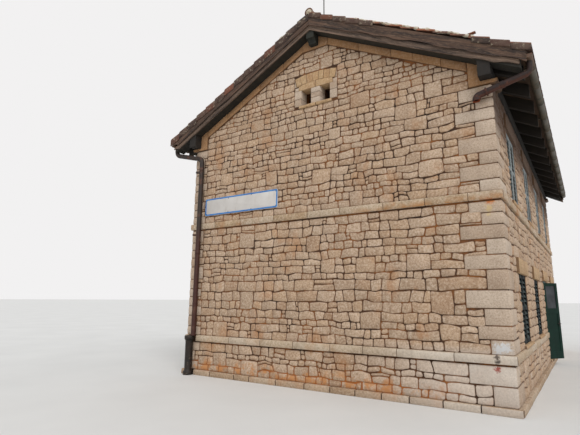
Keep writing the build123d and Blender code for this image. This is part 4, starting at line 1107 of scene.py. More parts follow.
# Each finish: its name, the function that mixes it and what that function is given
FINISHES = {
    # For the stones: tones, streak colour, colour of the painted shade at the rims, then grain, stain share
    # and hewn share
    "rubble stone": (stone, RUBBLE_TONES, (172, 116, 66), (112, 80, 52)),
    "quoin stone": (stone, ((192, 169, 147), (205, 184, 163), (213, 195, 176)),
                    (176, 130, 86), (118, 88, 62), 52.0, 0.3, 0.5),
    "band stone": (stone, ((192, 166, 134), (200, 179, 152), (210, 191, 167), (194, 170, 140)),
                   (180, 120, 66), (88, 60, 38), 38.0, 0.65, 0.7),
    "moulding stone": (stone, ((200, 178, 150), (208, 190, 166), (216, 200, 180)),
                       (186, 138, 92), (88, 60, 38), 44.0, 0.35, 0.6),
    "coping stone": (stone, ((156, 114, 74), (176, 134, 92), (164, 124, 86)),
                     (150, 92, 50), (84, 60, 40), 40.0, 0.5, 0.25),
    "lintel stone": (stone, ((190, 152, 110), (202, 168, 126), (194, 162, 122)),
                     (160, 104, 58), (110, 80, 54), 40.0, 0.4, 0.4),
    "footing stone": (stone, ((182, 155, 126), (196, 170, 143), (204, 183, 158)),
                      (176, 122, 74), (92, 64, 42), 40.0, 0.4, 0.6),
    "earth mortar": (earth,),
    "lime mortar": (lime,),
    "soffit boards": (timber, (27, 26, 20), (49, 45, 34)),
    "rafter timber": (timber, (30, 25, 19), (54, 45, 34), Paint.along_slope),
    "plate timber": (timber, (20, 16, 12), (42, 33, 24)),
    "ridge beam paint": (timber, (22, 24, 18), (46, 47, 36)),
    # The last colour of each bargeboard is its pale fibres: weathered grain with painted highlight
    "weathered bargeboard": (timber, (28, 19, 15), (108, 80, 62), Paint.along_slope,
                             17.0, 1.0, 0.1, (150, 122, 100)),
    "lower bargeboard": (timber, (50, 37, 30), (138, 113, 95), Paint.along_slope,
                         17.0, 0.8, 0.12, (168, 144, 122)),
    "floor boards": (timber, (70, 52, 38), (108, 84, 62)),
    "clay tile": (clay, (88, 60, 49), (112, 74, 57), (128, 83, 63), (160, 97, 66), (108, 80, 68)),
    # The verge tiles are clay painted dark brown as painted shade on their hanging sides
    "verge tile in painted shade": (clay, (48, 36, 30), (62, 44, 36), (74, 50, 40), (118, 70, 50), (60, 46, 40)),
    "gutter metal": (gutter_metal,),
    "painted pipe": (pipe_paint,),
    "rusty pipe": (rusty_iron,),
    "cast iron": (cast_iron,),
    "rod steel": (clouded, 90.0, (0.35, (66, 64, 62)), (0.65, (98, 94, 90)), (0.5, 0.2, 0.002, 0.6), 3.0),
    # The lower shutters' slats are painted lighter than their frame as a painted highlight
    "lower shutter paint": (paintwork, (9, 18, 20), (18, 32, 34), (7, 10, 10), 0.5, 0.8, (48, 60, 57)),
    # The upper shutters' slats are painted darker than their frame as painted shade
    "upper shutter paint": (paintwork, (132, 138, 138), (156, 158, 154), (84, 78, 70),
                            0.6, 0.75, (108, 114, 112)),
    # The door's green is near black: its own dark paint, darkened further as painted shade, as of plants over
    # it
    "door paint": (paintwork, (4, 34, 26), (9, 48, 37), (5, 22, 18), 0.5, 0.7),
    "frame paint": (paintwork, (62, 82, 76), (94, 106, 98), (40, 44, 40)),
    "dusty glass": (dusty_glass,),
    "board enamel": (enamel,),
    "board border paint": (clouded, 9.0, (0.35, (30, 100, 172)), (0.65, (62, 130, 192)), (0.4, 0.08, 0.002)),
    "pale studio floor": (studio_floor,),
}
MADE = {}


def finish(name):
    """The material of that name, made when it is first asked for."""
    if name not in MADE:
        maker, *values = FINISHES[name]
        MADE[name] = maker(Paint(name), *values)
    return MADE[name]


class StationStones(bpy.types.PropertyGroup):
    """How the walls are laid."""

    course: FloatProperty(name="Course height", description="Mean height of a course of rubble",
                          default=0.165, min=0.12, max=0.4, unit="LENGTH")
    joint: FloatProperty(name="Joint", description="Open width of the joints between stones",
                         default=0.014, min=0.004, max=0.04, unit="LENGTH")
    proud: FloatProperty(name="Proud", description="How far the stones stand out of the mortar",
                         default=0.016, min=0.004, max=0.04, unit="LENGTH")
    edge: FloatProperty(name="Edge radius", description="How far the rubble stones are rounded off",
                        default=0.022, min=0.005, max=0.06, unit="LENGTH")
    quoin: FloatProperty(name="Quoin height", description="Mean height of the large corner stones",
                         default=0.265, min=0.2, max=0.6, unit="LENGTH")
    seed: IntProperty(name="Seed", description="Chooses one laying of the stones", default=7, min=0)


class StationRoof(bpy.types.PropertyGroup):
    """Sizes of the roof covering."""

    tile_width: FloatProperty(name="Tile width", description="Width of a tile that shows",
                              default=0.2335, min=0.15, max=0.4, unit="LENGTH")
    tile_thickness: FloatProperty(name="Tile thickness", description="Thickness of a tile at its nose",
                                  default=0.02, min=0.01, max=0.04, unit="LENGTH")
    ridge_length: FloatProperty(name="Ridge tile length", description="Length of a ridge tile that shows",
                                default=0.4, min=0.2, max=0.6, unit="LENGTH")
    seed: IntProperty(name="Seed", description="Chooses one laying of the tiles", default=5, min=0)


class StationJoinery(bpy.types.PropertyGroup):
    """Sizes of the louvred shutters."""

    slat_pitch: FloatProperty(name="Slat pitch", description="Height from one slat to the next",
                              default=0.088, min=0.04, max=0.2, unit="LENGTH")
    slat_rise: FloatProperty(name="Slat rise", description="How much higher a slat's inner edge lies",
                             default=0.05, min=0.0, max=0.1, unit="LENGTH")
    slat_thickness: FloatProperty(name="Slat thickness", description="Thickness of a slat",
                                  default=0.01, min=0.005, max=0.02, unit="LENGTH")


class StationStage(bpy.types.PropertyGroup):
    """Light and camera."""

    sun: FloatProperty(name="Sun strength", description="Strength of the soft key light",
                       default=1.5, min=0, max=10)
    sky: FloatProperty(name="Sky strength", description="Strength of the even light from all round",
                       default=0.75, min=0, max=5)
    lens: FloatProperty(name="Lens", description="Focal length of the camera",
                        default=27.53, min=10, max=100, unit="CAMERA")
    eye: FloatVectorProperty(name="Eye", description="Place of the camera", size=3,
                             default=(4.938, -14.444, 1.843), subtype="TRANSLATION", unit="LENGTH")


def opening(centre, width, low, high, bearing=0.0):
    """Limits in u and v of a hole in a wall, or with a bearing those of the lintel over it."""
    return centre - width / 2 - bearing, centre + width / 2 + bearing, low, high


VOIDS = {
    "base": [opening(DOOR_CENTRE, DOOR_WIDTH, 0, MOULDING_LOW)],
    "lower": [
        *(opening(y, WINDOW_WIDTH, MOULDING_HIGH, LOWER_OPENING[1]) for y in LOWER_BAYS),
        *(opening(y, WINDOW_WIDTH, LOWER_OPENING[1], LOWER_OPENING[1] + LINTEL_HEIGHT, LINTEL_BEARING)
          for y in LOWER_BAYS),
        opening(DOOR_CENTRE, DOOR_WIDTH, 0, DOOR_HEAD),
        opening(DOOR_CENTRE, DOOR_WIDTH, LOWER_OPENING[1], DOOR_HEAD + LINTEL_HEIGHT, LINTEL_BEARING),
    ],
    "upper": [
        *(opening(y, WINDOW_WIDTH, STRING_HIGH, UPPER_OPENING[1]) for y in BAYS),
        *(opening(y, WINDOW_WIDTH, UPPER_OPENING[1], UPPER_OPENING[1] + LINTEL_HEIGHT, LINTEL_BEARING)
          for y in BAYS),
    ],
}
# Least and greatest reach of the long quoins, then of the short ones, at each corner
QUOIN_SIZES = {
    ("front", "right"): ((0.52, 0.76), (0.3, 0.45)),
    ("right", "rear"): ((0.52, 0.76), (0.3, 0.45)),
    ("rear", "left"): ((0.36, 0.48), (0.24, 0.32)),
    ("left", "front"): ((0.36, 0.48), (0.24, 0.32)),
}
# A strip of dark mortar left open under the moulding and the string course: a real joint, widened as painted
# shade under the bands
UNDER_BAND = 0.024
TOP_OF_SIDES = 5.88
RAKE = (SOFFIT_APEX - COPING_HEIGHT, ROOF_RISE)
APEX_FLAT = RAKE[0] - ROOF_RISE * APEX_STONE_HALF
# Zones of the walls from the bottom up: name, lowest and highest level, share of the course height
UPPER_SHARE = 0.94
ZONES = (
    ("base", FOOTING_TOP, MOULDING_LOW - UNDER_BAND, 0.88),
    ("lower", MOULDING_HIGH, STRING_LOW - UNDER_BAND, 1.05),
    ("upper", STRING_HIGH, KNEELER_LOW, UPPER_SHARE),
)
# Quoins and the stones of the long walls stand out further than those of the gables
BOLD = 1.35
# Stones are broader near the corner of the two main faces: by what share, from how far and how fast
GROWTH = 0.35
GROWTH_START = 2.4
GROWTH_RUN = 2.2


def mirrored(voids, side):
    """Voids given along +Y, in the u of a face: the left wall runs the other way."""
    if side == "left":
        return [(-b, -a, c, d) for a, b, c, d in voids]
    return list(voids)


def lay_quoins(sizes, number, pair, reaches):
    """The quoins of one corner as a piece; returns them zone by zone.

    The first reach of a quoin belongs to the face that ends at this corner.
    """
    rng = np.random.default_rng(sizes.seed * 100 + number)
    height = sizes.quoin if reaches[0][0] > 0.5 else sizes.quoin * 0.9
    zones = {zone: quoin_levels(rng, low, high, height, reaches) for zone, low, high, _ in ZONES}
    stones = [quoin for zone in zones.values() for quoin in zone]
    shell = Shell()
    corner_stones(shell, rng, *pair, [quoin[:2] for quoin in stones], [quoin[2:] for quoin in stones],
                  sizes.proud * BOLD, QUOIN_ARRIS, sizes.joint)
    shell.piece(f"quoins_{pair[0]}_{pair[1]}", "quoin stone", "rubble_stone")
    return zones


def lay_wall(sizes, number, side, before, after):
    """The rubble of one wall as a piece, between the quoins of the corners before and after it."""
    rng = np.random.default_rng(sizes.seed * 200 + number)
    seed = sizes.seed + 10 * number
    shell = Shell()
    reach = FACE_REACH[side]
    gable = side in GABLES
    toward = {"front": 1, "right": -1}.get(side, 0)

    def breadth(u):
        return 1 + GROWTH * soft_step((toward * u - reach + GROWTH_START) / GROWTH_RUN)

    for zone, low, high, share in ZONES:
        voids = [] if gable else mirrored(VOIDS[zone], side)
        stops = {low, high}
        if not gable:
            stops |= {v for void in VOIDS[zone] for v in void[2:] if low < v < high}
            stops -= {DOOR_HEAD, DOOR_HEAD + LINTEL_HEIGHT}
        ends = (
            [(q[0], q[1], q[3]) for q in before[zone]],
            [(q[0], q[1], q[2]) for q in after[zone]],
        )
        levels = stacked(rng, sorted(stops), sizes.course * share)
        quads = lay_courses(rng, (-reach, reach), levels, voids, ends, breadth=breadth)
        if zone == "lower" and not gable:
            # The sliver between the door's lintel and the next course
            over = DOOR_HEAD + LINTEL_HEIGHT
            above = levels[levels > over + 0.01].min()
            quads = np.concatenate((quads, cut_stretch(rng, *voids[-1][:2], over, above, breadth)))
        warp = wall_warp((-reach, reach), low, high, voids, seed)
        proud = sizes.proud * rng.uniform(0.7, 1.45, len(quads)) * (1 if gable else BOLD)
        pillows(shell, rng, side, quads, proud, sizes.edge, sizes.joint, warp)
    if gable:
        stops = (KNEELER_LOW, VENT_ZONE[2], VENT_ZONE[3], APEX_FLAT)
        levels = stacked(rng, stops, sizes.course * UPPER_SHARE)
        span = (-KNEELER_EDGE, KNEELER_EDGE)
        quads = lay_courses(rng, span, levels, [VENT_ZONE], rake=RAKE)
        warp = wall_warp(span, levels[0], levels[-1], [VENT_ZONE], seed + 5)
    else:
        quads = lay_courses(rng, (-reach, reach), np.array((KNEELER_LOW, TOP_OF_SIDES)))
        warp = None
    proud = sizes.proud * rng.uniform(0.7, 1.45, len(quads))
    pillows(shell, rng, side, quads, proud, sizes.edge, sizes.joint, warp)
    shell.piece(f"rubble_{side}", "rubble stone", "rubble_stone")


class STATION_OT_walls(bpy.types.Operator):
    """Lays the squared rubble and the quoins of the four walls"""

    bl_idname = "station.walls"
    bl_label = "Rubble walls"

    def execute(self, context):
        sizes = context.scene.station_stones
        quoins = {
            pair: lay_quoins(sizes, number, pair, reaches)
            for number, (pair, reaches) in enumerate(QUOIN_SIZES.items())
        }
        order = ("front", "right", "rear", "left")
        for number, side in enumerate(order):
            before = quoins[order[number - 1], side]
            after = quoins[side, order[(number + 1) % 4]]
            lay_wall(sizes, number, side, before, after)
        return {"FINISHED"}


# Bands round the building: node, how far out, lowest and highest level, round of the upper arris,
# length of a block, gap between blocks, finish and slot
BANDS = (
    ("footing", FOOTING_PROUD, 0.0, FOOTING_TOP, 0.015, 0.62, 0.02, "footing stone", "footing_stone"),
    ("plinth_moulding", BAND_PROUD, MOULDING_LOW, MOULDING_HIGH, 0.036, 0.95, 0.008,
     "moulding stone", "dressed_stone"),
    ("string_course", BAND_PROUD, STRING_LOW, STRING_HIGH, 0.013, 0.85, 0.008,
     "band stone", "dressed_stone"),
)


def band_stretches(name, side, reach):
    """Where a band runs on a face: not across the doorways, nor behind the boot on the front."""
    blocked = []
    if side not in GABLES and name == "plinth_moulding":
        door = DOOR_CENTRE if side == "right" else -DOOR_CENTRE
        blocked = [(door - DOOR_WIDTH / 2, door + DOOR_WIDTH / 2)]
    if side == "front" and name != "string_course":
        low, high = corners("drain_boot")
        blocked = [(low[0] - 0.006, high[0] + 0.006)]
    return free_stretches(-reach, reach, blocked)


class STATION_OT_bands(bpy.types.Operator):
    """Lays the footing slabs, the plinth moulding and the string course"""

    bl_idname = "station.bands"
    bl_label = "Footing and bands"

    def execute(self, context):
        seed = context.scene.station_stones.seed
        for number, (name, proud, bottom, top, arris, length, gap, material, slot) in enumerate(BANDS):
            shell = Shell()
            rng = np.random.default_rng(seed + 31 * number)
            outline = rounded_bar(proud, bottom, top, arris)
            for side in FACES:
                reach = FACE_REACH[side] + (proud if side in GABLES else -0.003)
                for low, high in band_stretches(name, side, reach):
                    joints = courses(rng, low, high, length)
                    run_blocks(shell, rng, joints, outline, partial(on_face, side), gap)
            shell.piece(name + "_stones", material, slot, (name,))
        return {"FINISHED"}


class STATION_OT_lintels(bpy.types.Operator):
    """Cuts the lintels and sills of the windows and doorways"""

    bl_idname = "station.lintels"
    bl_label = "Lintels and sills"

    def execute(self, context):
        rng = np.random.default_rng(context.scene.station_stones.seed + 77)
        lintels, sills = Shell(), Shell()
        runs = [(y, WINDOW_WIDTH, LOWER_OPENING[1]) for y in LOWER_BAYS]
        runs += [(y, WINDOW_WIDTH, UPPER_OPENING[1]) for y in BAYS]
        runs += [(DOOR_CENTRE, DOOR_WIDTH, DOOR_HEAD)]
        seats = [(y, MOULDING_HIGH, LOWER_OPENING[0]) for y in LOWER_BAYS]
        seats += [(y, STRING_HIGH, UPPER_OPENING[0]) for y in BAYS]
        lintel_proud = corners("lintels")[1][0] - HALF_WIDTH
        sill_proud = corners("sills")[1][0] - HALF_WIDTH
        floor = corners("ground_floor")[1][2]
        for side, sign in (("right", 1), ("left", -1)):
            blocks = [
                (lintels, centre, width / 2 + LINTEL_BEARING,
                 rounded_bar(lintel_proud, head, head + LINTEL_HEIGHT, 0.012, 0.2))
                for centre, width, head in runs
            ]
            blocks += [
                (sills, centre, WINDOW_WIDTH / 2 + SILL_BEARING,
                 rounded_bar(sill_proud, low, high, 0.022, 0.2))
                for centre, low, high in seats
            ]
            threshold = rounded_bar(BAND_PROUD, FOOTING_TOP, floor, 0.02, 0.45)
            blocks.append((sills, DOOR_CENTRE, DOOR_WIDTH / 2, threshold))
            for shell, centre, half, outline in blocks:
                joints = (sign * centre - half, sign * centre + half)
                run_blocks(shell, rng, joints, outline, partial(on_face, side))
        lintels.piece("window_lintels", "lintel stone", "dressed_stone", ("lintels",))
        sills.piece("window_sills", "lintel stone", "dressed_stone", ("sills",))
        return {"FINISHED"}


VENT_HEIGHT = 0.4
VENT_EDGE = 0.575
VENT_BED = -0.24
# Left edge, right edge and joints of the jambs and of the pier between the vents
VENT_POSTS = (
    (-VENT_EDGE, -0.391, (0.0, 0.47, 1.0)),
    (-0.124, 0.124, (0.0, 0.36, 0.66, 1.0)),
    (0.391, VENT_EDGE, (0.0, 0.55, 1.0)),
)
HEAD_REACH = 0.46
HEAD_HEIGHT = 0.105
ARCH_HALF = 0.52
ARCH_RISE = 0.06
ARCH_DEPTH = 0.235
ARCH_BED = -0.1
ARCH_STONES = 7


class STATION_OT_vents(bpy.types.Operator):
    """Builds the stone surrounds and relieving arches of the attic vents"""

    bl_idname = "station.vents"
    bl_label = "Vent surrounds"

    def execute(self, context):
        seed = context.scene.station_stones.seed
        shell, sills, arches, heads = Shell(), Shell(), Shell(), Shell()
        bottom = corners("vent_sills")[1][2]
        head = bottom + VENT_HEIGHT
        spring = head + HEAD_HEIGHT
        # The circle through both springings and the crown of the arch
        radius = (ARCH_HALF**2 + ARCH_RISE**2) / (2 * ARCH_RISE)
        centre = spring + ARCH_RISE - radius
        for side in GABLES:
            rng = np.random.default_rng(seed + 55)
            place = partial(on_face, side)
            for low, high, shares in VENT_POSTS:
                levels = bottom + np.array(shares) * VENT_HEIGHT
                for a, b in zip(levels + 0.004, levels[1:] - 0.004):
                    # The jambs' reveals get a face value of 1.2, which lightens them a little as painted
                    # light
                    slab(shell, rng, upright(low, high, a, b), place, VENT_BED, rng.uniform(0.012, 0.022),
                         rims=(1.2, 1.2))
            for low, high in ((-VENT_EDGE, -HEAD_REACH), (HEAD_REACH, VENT_EDGE)):
                low += 0.005
                outline = [(low, head), (high, head), (high, spring - 0.01), (low, spring - 0.02)]
                slab(shell, rng, outline, place, VENT_BED, 0.012)
            for low, high in ((-HEAD_REACH, -0.01), (0.01, HEAD_REACH)):
                back = np.linspace(high, low, 5)
                arc = np.stack([back, centre + np.sqrt(radius**2 - back**2) - 0.01], axis=1)
                outline = np.concatenate(([(low, head - 0.006), (high, head - 0.006)], arc))
                slab(heads, rng, outline, place, VENT_BED, 0.028, 0.008, rims=(1.1, 1.1))
            # The wedges between the arch's ends and the rubble
            for sign in (1, -1):
                outline = np.array([(ARCH_HALF + 0.008, spring), (0.578, spring), (0.578, spring + 0.2)])
                outline = (outline * (sign, 1))[::sign]
                slab(shell, rng, outline, place, ARCH_BED, 0.014, 0.006)
            turns = np.arcsin(ARCH_HALF / radius) * np.linspace(-1, 1, ARCH_STONES + 1)
            turns[1:-1] += rng.uniform(-0.006, 0.006, ARCH_STONES - 1)
            for a, b in zip(turns + 0.0018, turns[1:] - 0.0018):
                back = radius + ARCH_DEPTH * rng.uniform(0.9, 1.0)
                outline = [
                    (r * np.sin(t), centre + r * np.cos(t))
                    for r, t in ((radius, a), (radius, b), (back, b), (back, a))
                ]
                slab(arches, rng, outline, place, ARCH_BED, rng.uniform(0.012, 0.024), 0.008)
            outline = rounded_bar(BAND_PROUD, bottom - 0.07, bottom, 0.018, 0.3)
            run_blocks(sills, rng, (-0.45, 0.02, 0.45), outline, place, 0.014, 0.006)
        shell.piece("vent_jambs", "quoin stone", "dressed_stone")
        heads.piece("vent_heads", "lintel stone", "dressed_stone")
        sills.piece("vent_sill_stones", "lintel stone", "dressed_stone", ("vent_sills",))
        arches.piece("vent_arch_stones", "lintel stone", "dressed_stone", ("vent_arches",))
        return {"FINISHED"}


COPING_LENGTH = 0.62
COPING_BED = -0.2
ROOF_GAP = 0.003
NOTCH_DEPTH = 0.25
APEX_FOOT = 0.12
KNEELER_BED = -0.5
KNEELER_FLARE = 0.12
KNEELER_HOLLOW = 0.06


class STATION_OT_copings(bpy.types.Operator):
    """Cuts the raking coping stones, the notched apex stones and the kneelers"""

    bl_idname = "station.copings"
    bl_label = "Copings and kneelers"

    def execute(self, context):
        shell = Shell()
        proud = BAND_PROUD
        beam_half = corners("ridge_beam")[1][0]
        for side in GABLES:
            rng = np.random.default_rng(context.scene.station_stones.seed + 91)
            place = partial(on_face, side)
            for sign in (1, -1):
                joints = courses(rng, APEX_STONE_HALF + 0.003, KNEELER_EDGE - 0.003, COPING_LENGTH)
                for low, high in zip(joints + 0.002, joints[1:] - 0.002):
                    outline = [
                        (sign * x, slope_z(x, 0) - drop)
                        for x, drop in ((low, COPING_HEIGHT), (high, COPING_HEIGHT),
                                        (high, ROOF_GAP), (low, ROOF_GAP))
                    ]
                    slab(shell, rng, outline[::sign], place, COPING_BED, proud - rng.uniform(0, 0.004))
            beam_foot = slope_z(beam_half, 0)
            right = [
                (APEX_FOOT, APEX_FLAT), (APEX_STONE_HALF, APEX_FLAT),
                (APEX_STONE_HALF, slope_z(APEX_STONE_HALF, 0) - ROOF_GAP),
                (beam_half, beam_foot - ROOF_GAP), (beam_half, beam_foot - NOTCH_DEPTH),
            ]
            outline = right + [(-x, z) for x, z in reversed(right)]
            slab(shell, rng, outline, place, COPING_BED, proud)
            # The kneeler's end flares out in a quarter hollow and is cut out for the wall plate
            turn = np.linspace(0, np.pi / 2, 6)[1:]
            hollow = np.stack([HALF_WIDTH + KNEELER_FLARE * np.sin(turn),
                               KNEELER_LOW + KNEELER_HOLLOW * (1 - np.cos(turn))], axis=1)
            edge, inner = KNEELER_EDGE + 0.005, HALF_WIDTH - 0.18
            outline = np.concatenate((
                [(edge, KNEELER_LOW + 0.008), (HALF_WIDTH - 0.02, KNEELER_LOW + 0.008)],
                hollow,
                [(HALF_WIDTH + KNEELER_FLARE, TOP_OF_SIDES), (inner, TOP_OF_SIDES),
                 (inner, slope_z(inner, 0) - ROOF_GAP), (edge, slope_z(KNEELER_EDGE, 0) - 0.005)],
            ))
            slab(shell, rng, outline, place, KNEELER_BED, proud, 0.008)
            slab(shell, rng, (outline * (-1, 1))[::-1], place, KNEELER_BED, proud, 0.008)
        shell.piece("coping_stones", "coping stone", "dressed_stone", ("copings", "kneelers"))
        return {"FINISHED"}


# Outline of a tile's worked top, across its width: a rim, two ribs and the hollow between
TILE_TOP = np.array((
    (0.0, -0.004), (0.02, 0.014), (0.06, 0.015), (0.1, -0.002), (0.5, 0.004),
    (0.86, -0.002), (0.9, 0.010), (0.97, 0.011), (1.0, 0.0),
))
TILE_STATIONS = np.array((0.0, 0.07, 0.8, 0.985, 1.0))
TILE_GAUGE = EAVE_EDGE / TILE_COURSES
TILE_CREST = TILE_BASE + TILE_NOSE - TILE_STEP


class STATION_OT_tiles(bpy.types.Operator):
    """Hangs the interlocking clay tiles of both slopes"""

    bl_idname = "station.tiles"
    bl_label = "Roof tiles"

    def execute(self, context):
        sizes = context.scene.station_roof
        columns = round(2 * VERGE / sizes.tile_width)
        width = 2 * VERGE / columns
        # The ring of a tile runs along its worked top and back along the flat underside
        w = np.concatenate((TILE_TOP[:, 0], (1.0, 0.0)))
        lift = np.concatenate((TILE_TOP[:, 1], (-sizes.tile_thickness, -sizes.tile_thickness)))
        course, column = (a.ravel() for a in np.indices((TILE_COURSES, columns)))
        count = len(course)
        shape = (count, len(TILE_STATIONS), len(w))
        # Low face values on each tile's underside and nose end, which the finish darkens as painted shade
        shade = np.ones(shape[1:])
        shade[:, -2:] = 0.3
        shade[-1] = 0.25
        for side, word in ((1, "right"), (-1, "left")):
            rng = np.random.default_rng(sizes.seed + side)
            head = np.maximum(course * TILE_GAUGE - 0.05, 0.02)
            nose = np.minimum((course + 1) * TILE_GAUGE + rng.normal(0, 0.004, count), EAVE_EDGE)
            x = head[:, None] + (nose - head)[:, None] * TILE_STATIONS
            depth = TILE_CREST + TILE_STEP / TILE_GAUGE * (x - (course * TILE_GAUGE)[:, None])
            depth = depth + rng.normal(0, 0.003, (count, 1))
            skew = rng.normal(0, 0.006, (count, 1)) * (TILE_STATIONS - 0.5)
            roll = rng.normal(0, 0.004, count)
            y = -VERGE + (column[:, None, None] + w * 0.995) * width + skew[..., None]
            rise = np.broadcast_to(lift + roll[:, None, None] * (w - 0.5), shape).copy()
            rise[:, -1, :len(TILE_TOP)] -= 0.006
            x = x[..., None]
            points = world(side * x, np.clip(y, -VERGE, VERGE), slope_z(x, depth[..., None] + rise))
            faces = [group[:, ::-side] for group in ring_faces(*shape[1:], count)]
            shell = Shell()
            shell.add(points, faces, random_tones(rng, count, shade.size), np.tile(shade.ravel(), count))
            shell.piece(f"{word}_roof_tiles", "clay tile", "clay_tile", (f"{word}_tiles",))
        return {"FINISHED"}


# A ridge tile along its length: shares of the length, and how far its socket and rim swell
RIDGE_STATIONS = np.array((0.0, 0.015, 0.07, 0.075, 0.5, 1.06))
RIDGE_SWELL = np.array((0.0, 0.004, 0.004, -0.003, -0.008, -0.014))
RIDGE_SWEEP = 0.62 * np.pi
RIDGE_THICKNESS = 0.016


class STATION_OT_ridge(bpy.types.Operator):
    """Beds the half-round ridge tiles"""

    bl_idname = "station.ridge"
    bl_label = "Ridge tiles"

    def execute(self, context):
        sizes = context.scene.station_roof
        rng = np.random.default_rng(sizes.seed + 40)
        low, high = corners("ridge_tiles")
        radius = high[0]
        count = round((high[1] - low[1]) / sizes.ridge_length)
        length = (high[1] - low[1]) / count
        # The ring runs over the outside and back along the inside
        turn = np.linspace(-RIDGE_SWEEP, RIDGE_SWEEP, 15)
        turn = np.concatenate((turn, turn[::-1]))
        inside = np.repeat((0.0, 1.0), 15)
        r = (radius - 0.005 + RIDGE_SWELL)[:, None] - RIDGE_THICKNESS * inside
        y = np.minimum(low[1] + (np.arange(count)[:, None] + RIDGE_STATIONS) * length, high[1])
        drop = 0.003 * np.arange(len(RIDGE_STATIONS))[None, :, None]
        lift = rng.normal(0, 0.003, (count, 1, 1)) - drop
        x = r * np.sin(turn) + rng.normal(0, 0.004, (count, 1, 1))
        z = np.clip(high[2] - radius + r * np.cos(turn) + lift, 0, high[2])
        faces = [group[:, ::-1] for group in ring_faces(len(RIDGE_STATIONS), 30, count)]
        tone = random_tones(rng, count, len(RIDGE_STATIONS) * 30)
        shell = Shell()
        shell.add(world(x, y[..., None], z), faces, tone, 1.0)
        shell.piece("ridge_capping", "clay tile", "clay_tile", ("ridge_tiles",))
        return {"FINISHED"}


# Bites out of the lower edge of the front's right boards: place along the slope, half width and depth
BITES = ((1.35, 0.22, 0.03), (1.9, 0.12, 0.022), (2.55, 0.3, 0.034), (3.35, 0.16, 0.018), (4.2, 0.2, 0.03))
LOWER_BITES = ((4.3, 0.3, 0.05), (3.7, 0.14, 0.014))
# The left boards are cut away at the foot
CUT_FOOT = ((BOARD_FOOT, 0.16, 0.09),)


class STATION_OT_bargeboards(bpy.types.Operator):
    """Fits the two weathered boards of each verge"""

    bl_idname = "station.bargeboards"
    bl_label = "Bargeboards"

    def execute(self, context):
        lower, upper = Shell(), Shell()
        middle = VERGE - BARGE_THICKNESS
        for facing in (-1, 1):
            for side in (-1, 1):
                rng = np.random.default_rng(context.scene.station_roof.seed + 60 + 2 * facing + side)
                seen = facing < 0 < side
                bites = BITES
                if not seen:
                    bites = [(rng.uniform(0.6, 4.2), 0.2, rng.uniform(0.008, 0.02)) for _ in range(3)]
                cut_foot = CUT_FOOT if side < 0 else ()
                reach = BOARD_FOOT - (0.12 if seen else 0.02)
                weathered_board(lower, rng, side, facing, reach, (0.0, LOWER_BARGE),
                                (middle - BARGE_THICKNESS, middle), LOWER_BITES if seen else cut_foot)
                weathered_board(upper, rng, side, facing, BOARD_FOOT, (LOWER_BARGE - BARGE_LAP, TILE_BASE),
                                (middle + 0.0005, VERGE), (*bites, *cut_foot), 0.004)
        lower.piece("lower_bargeboards", "lower bargeboard", "barge_timber")
        upper.piece("upper_bargeboards", "weathered bargeboard", "barge_timber", ("bargeboards",))
        return {"FINISHED"}


# Where lumps of mortar show on the verges: face, slope, start and end from the ridge
LUMPS = ((-1, 1, 1.1, 3.65), (-1, -1, 0.5, 0.9), (1, 1, 0.8, 2.4), (1, -1, 1.6, 3.9))
# Courses whose hanging sides have gone from the slope that shows
LOST_COURSES = range(5, 11)
# Pieces of a tile that has slid down: X, tilt in radians and length
SLIPPED = ((3.4, 0.1, 0.24), (3.6, 1.9, 0.09))


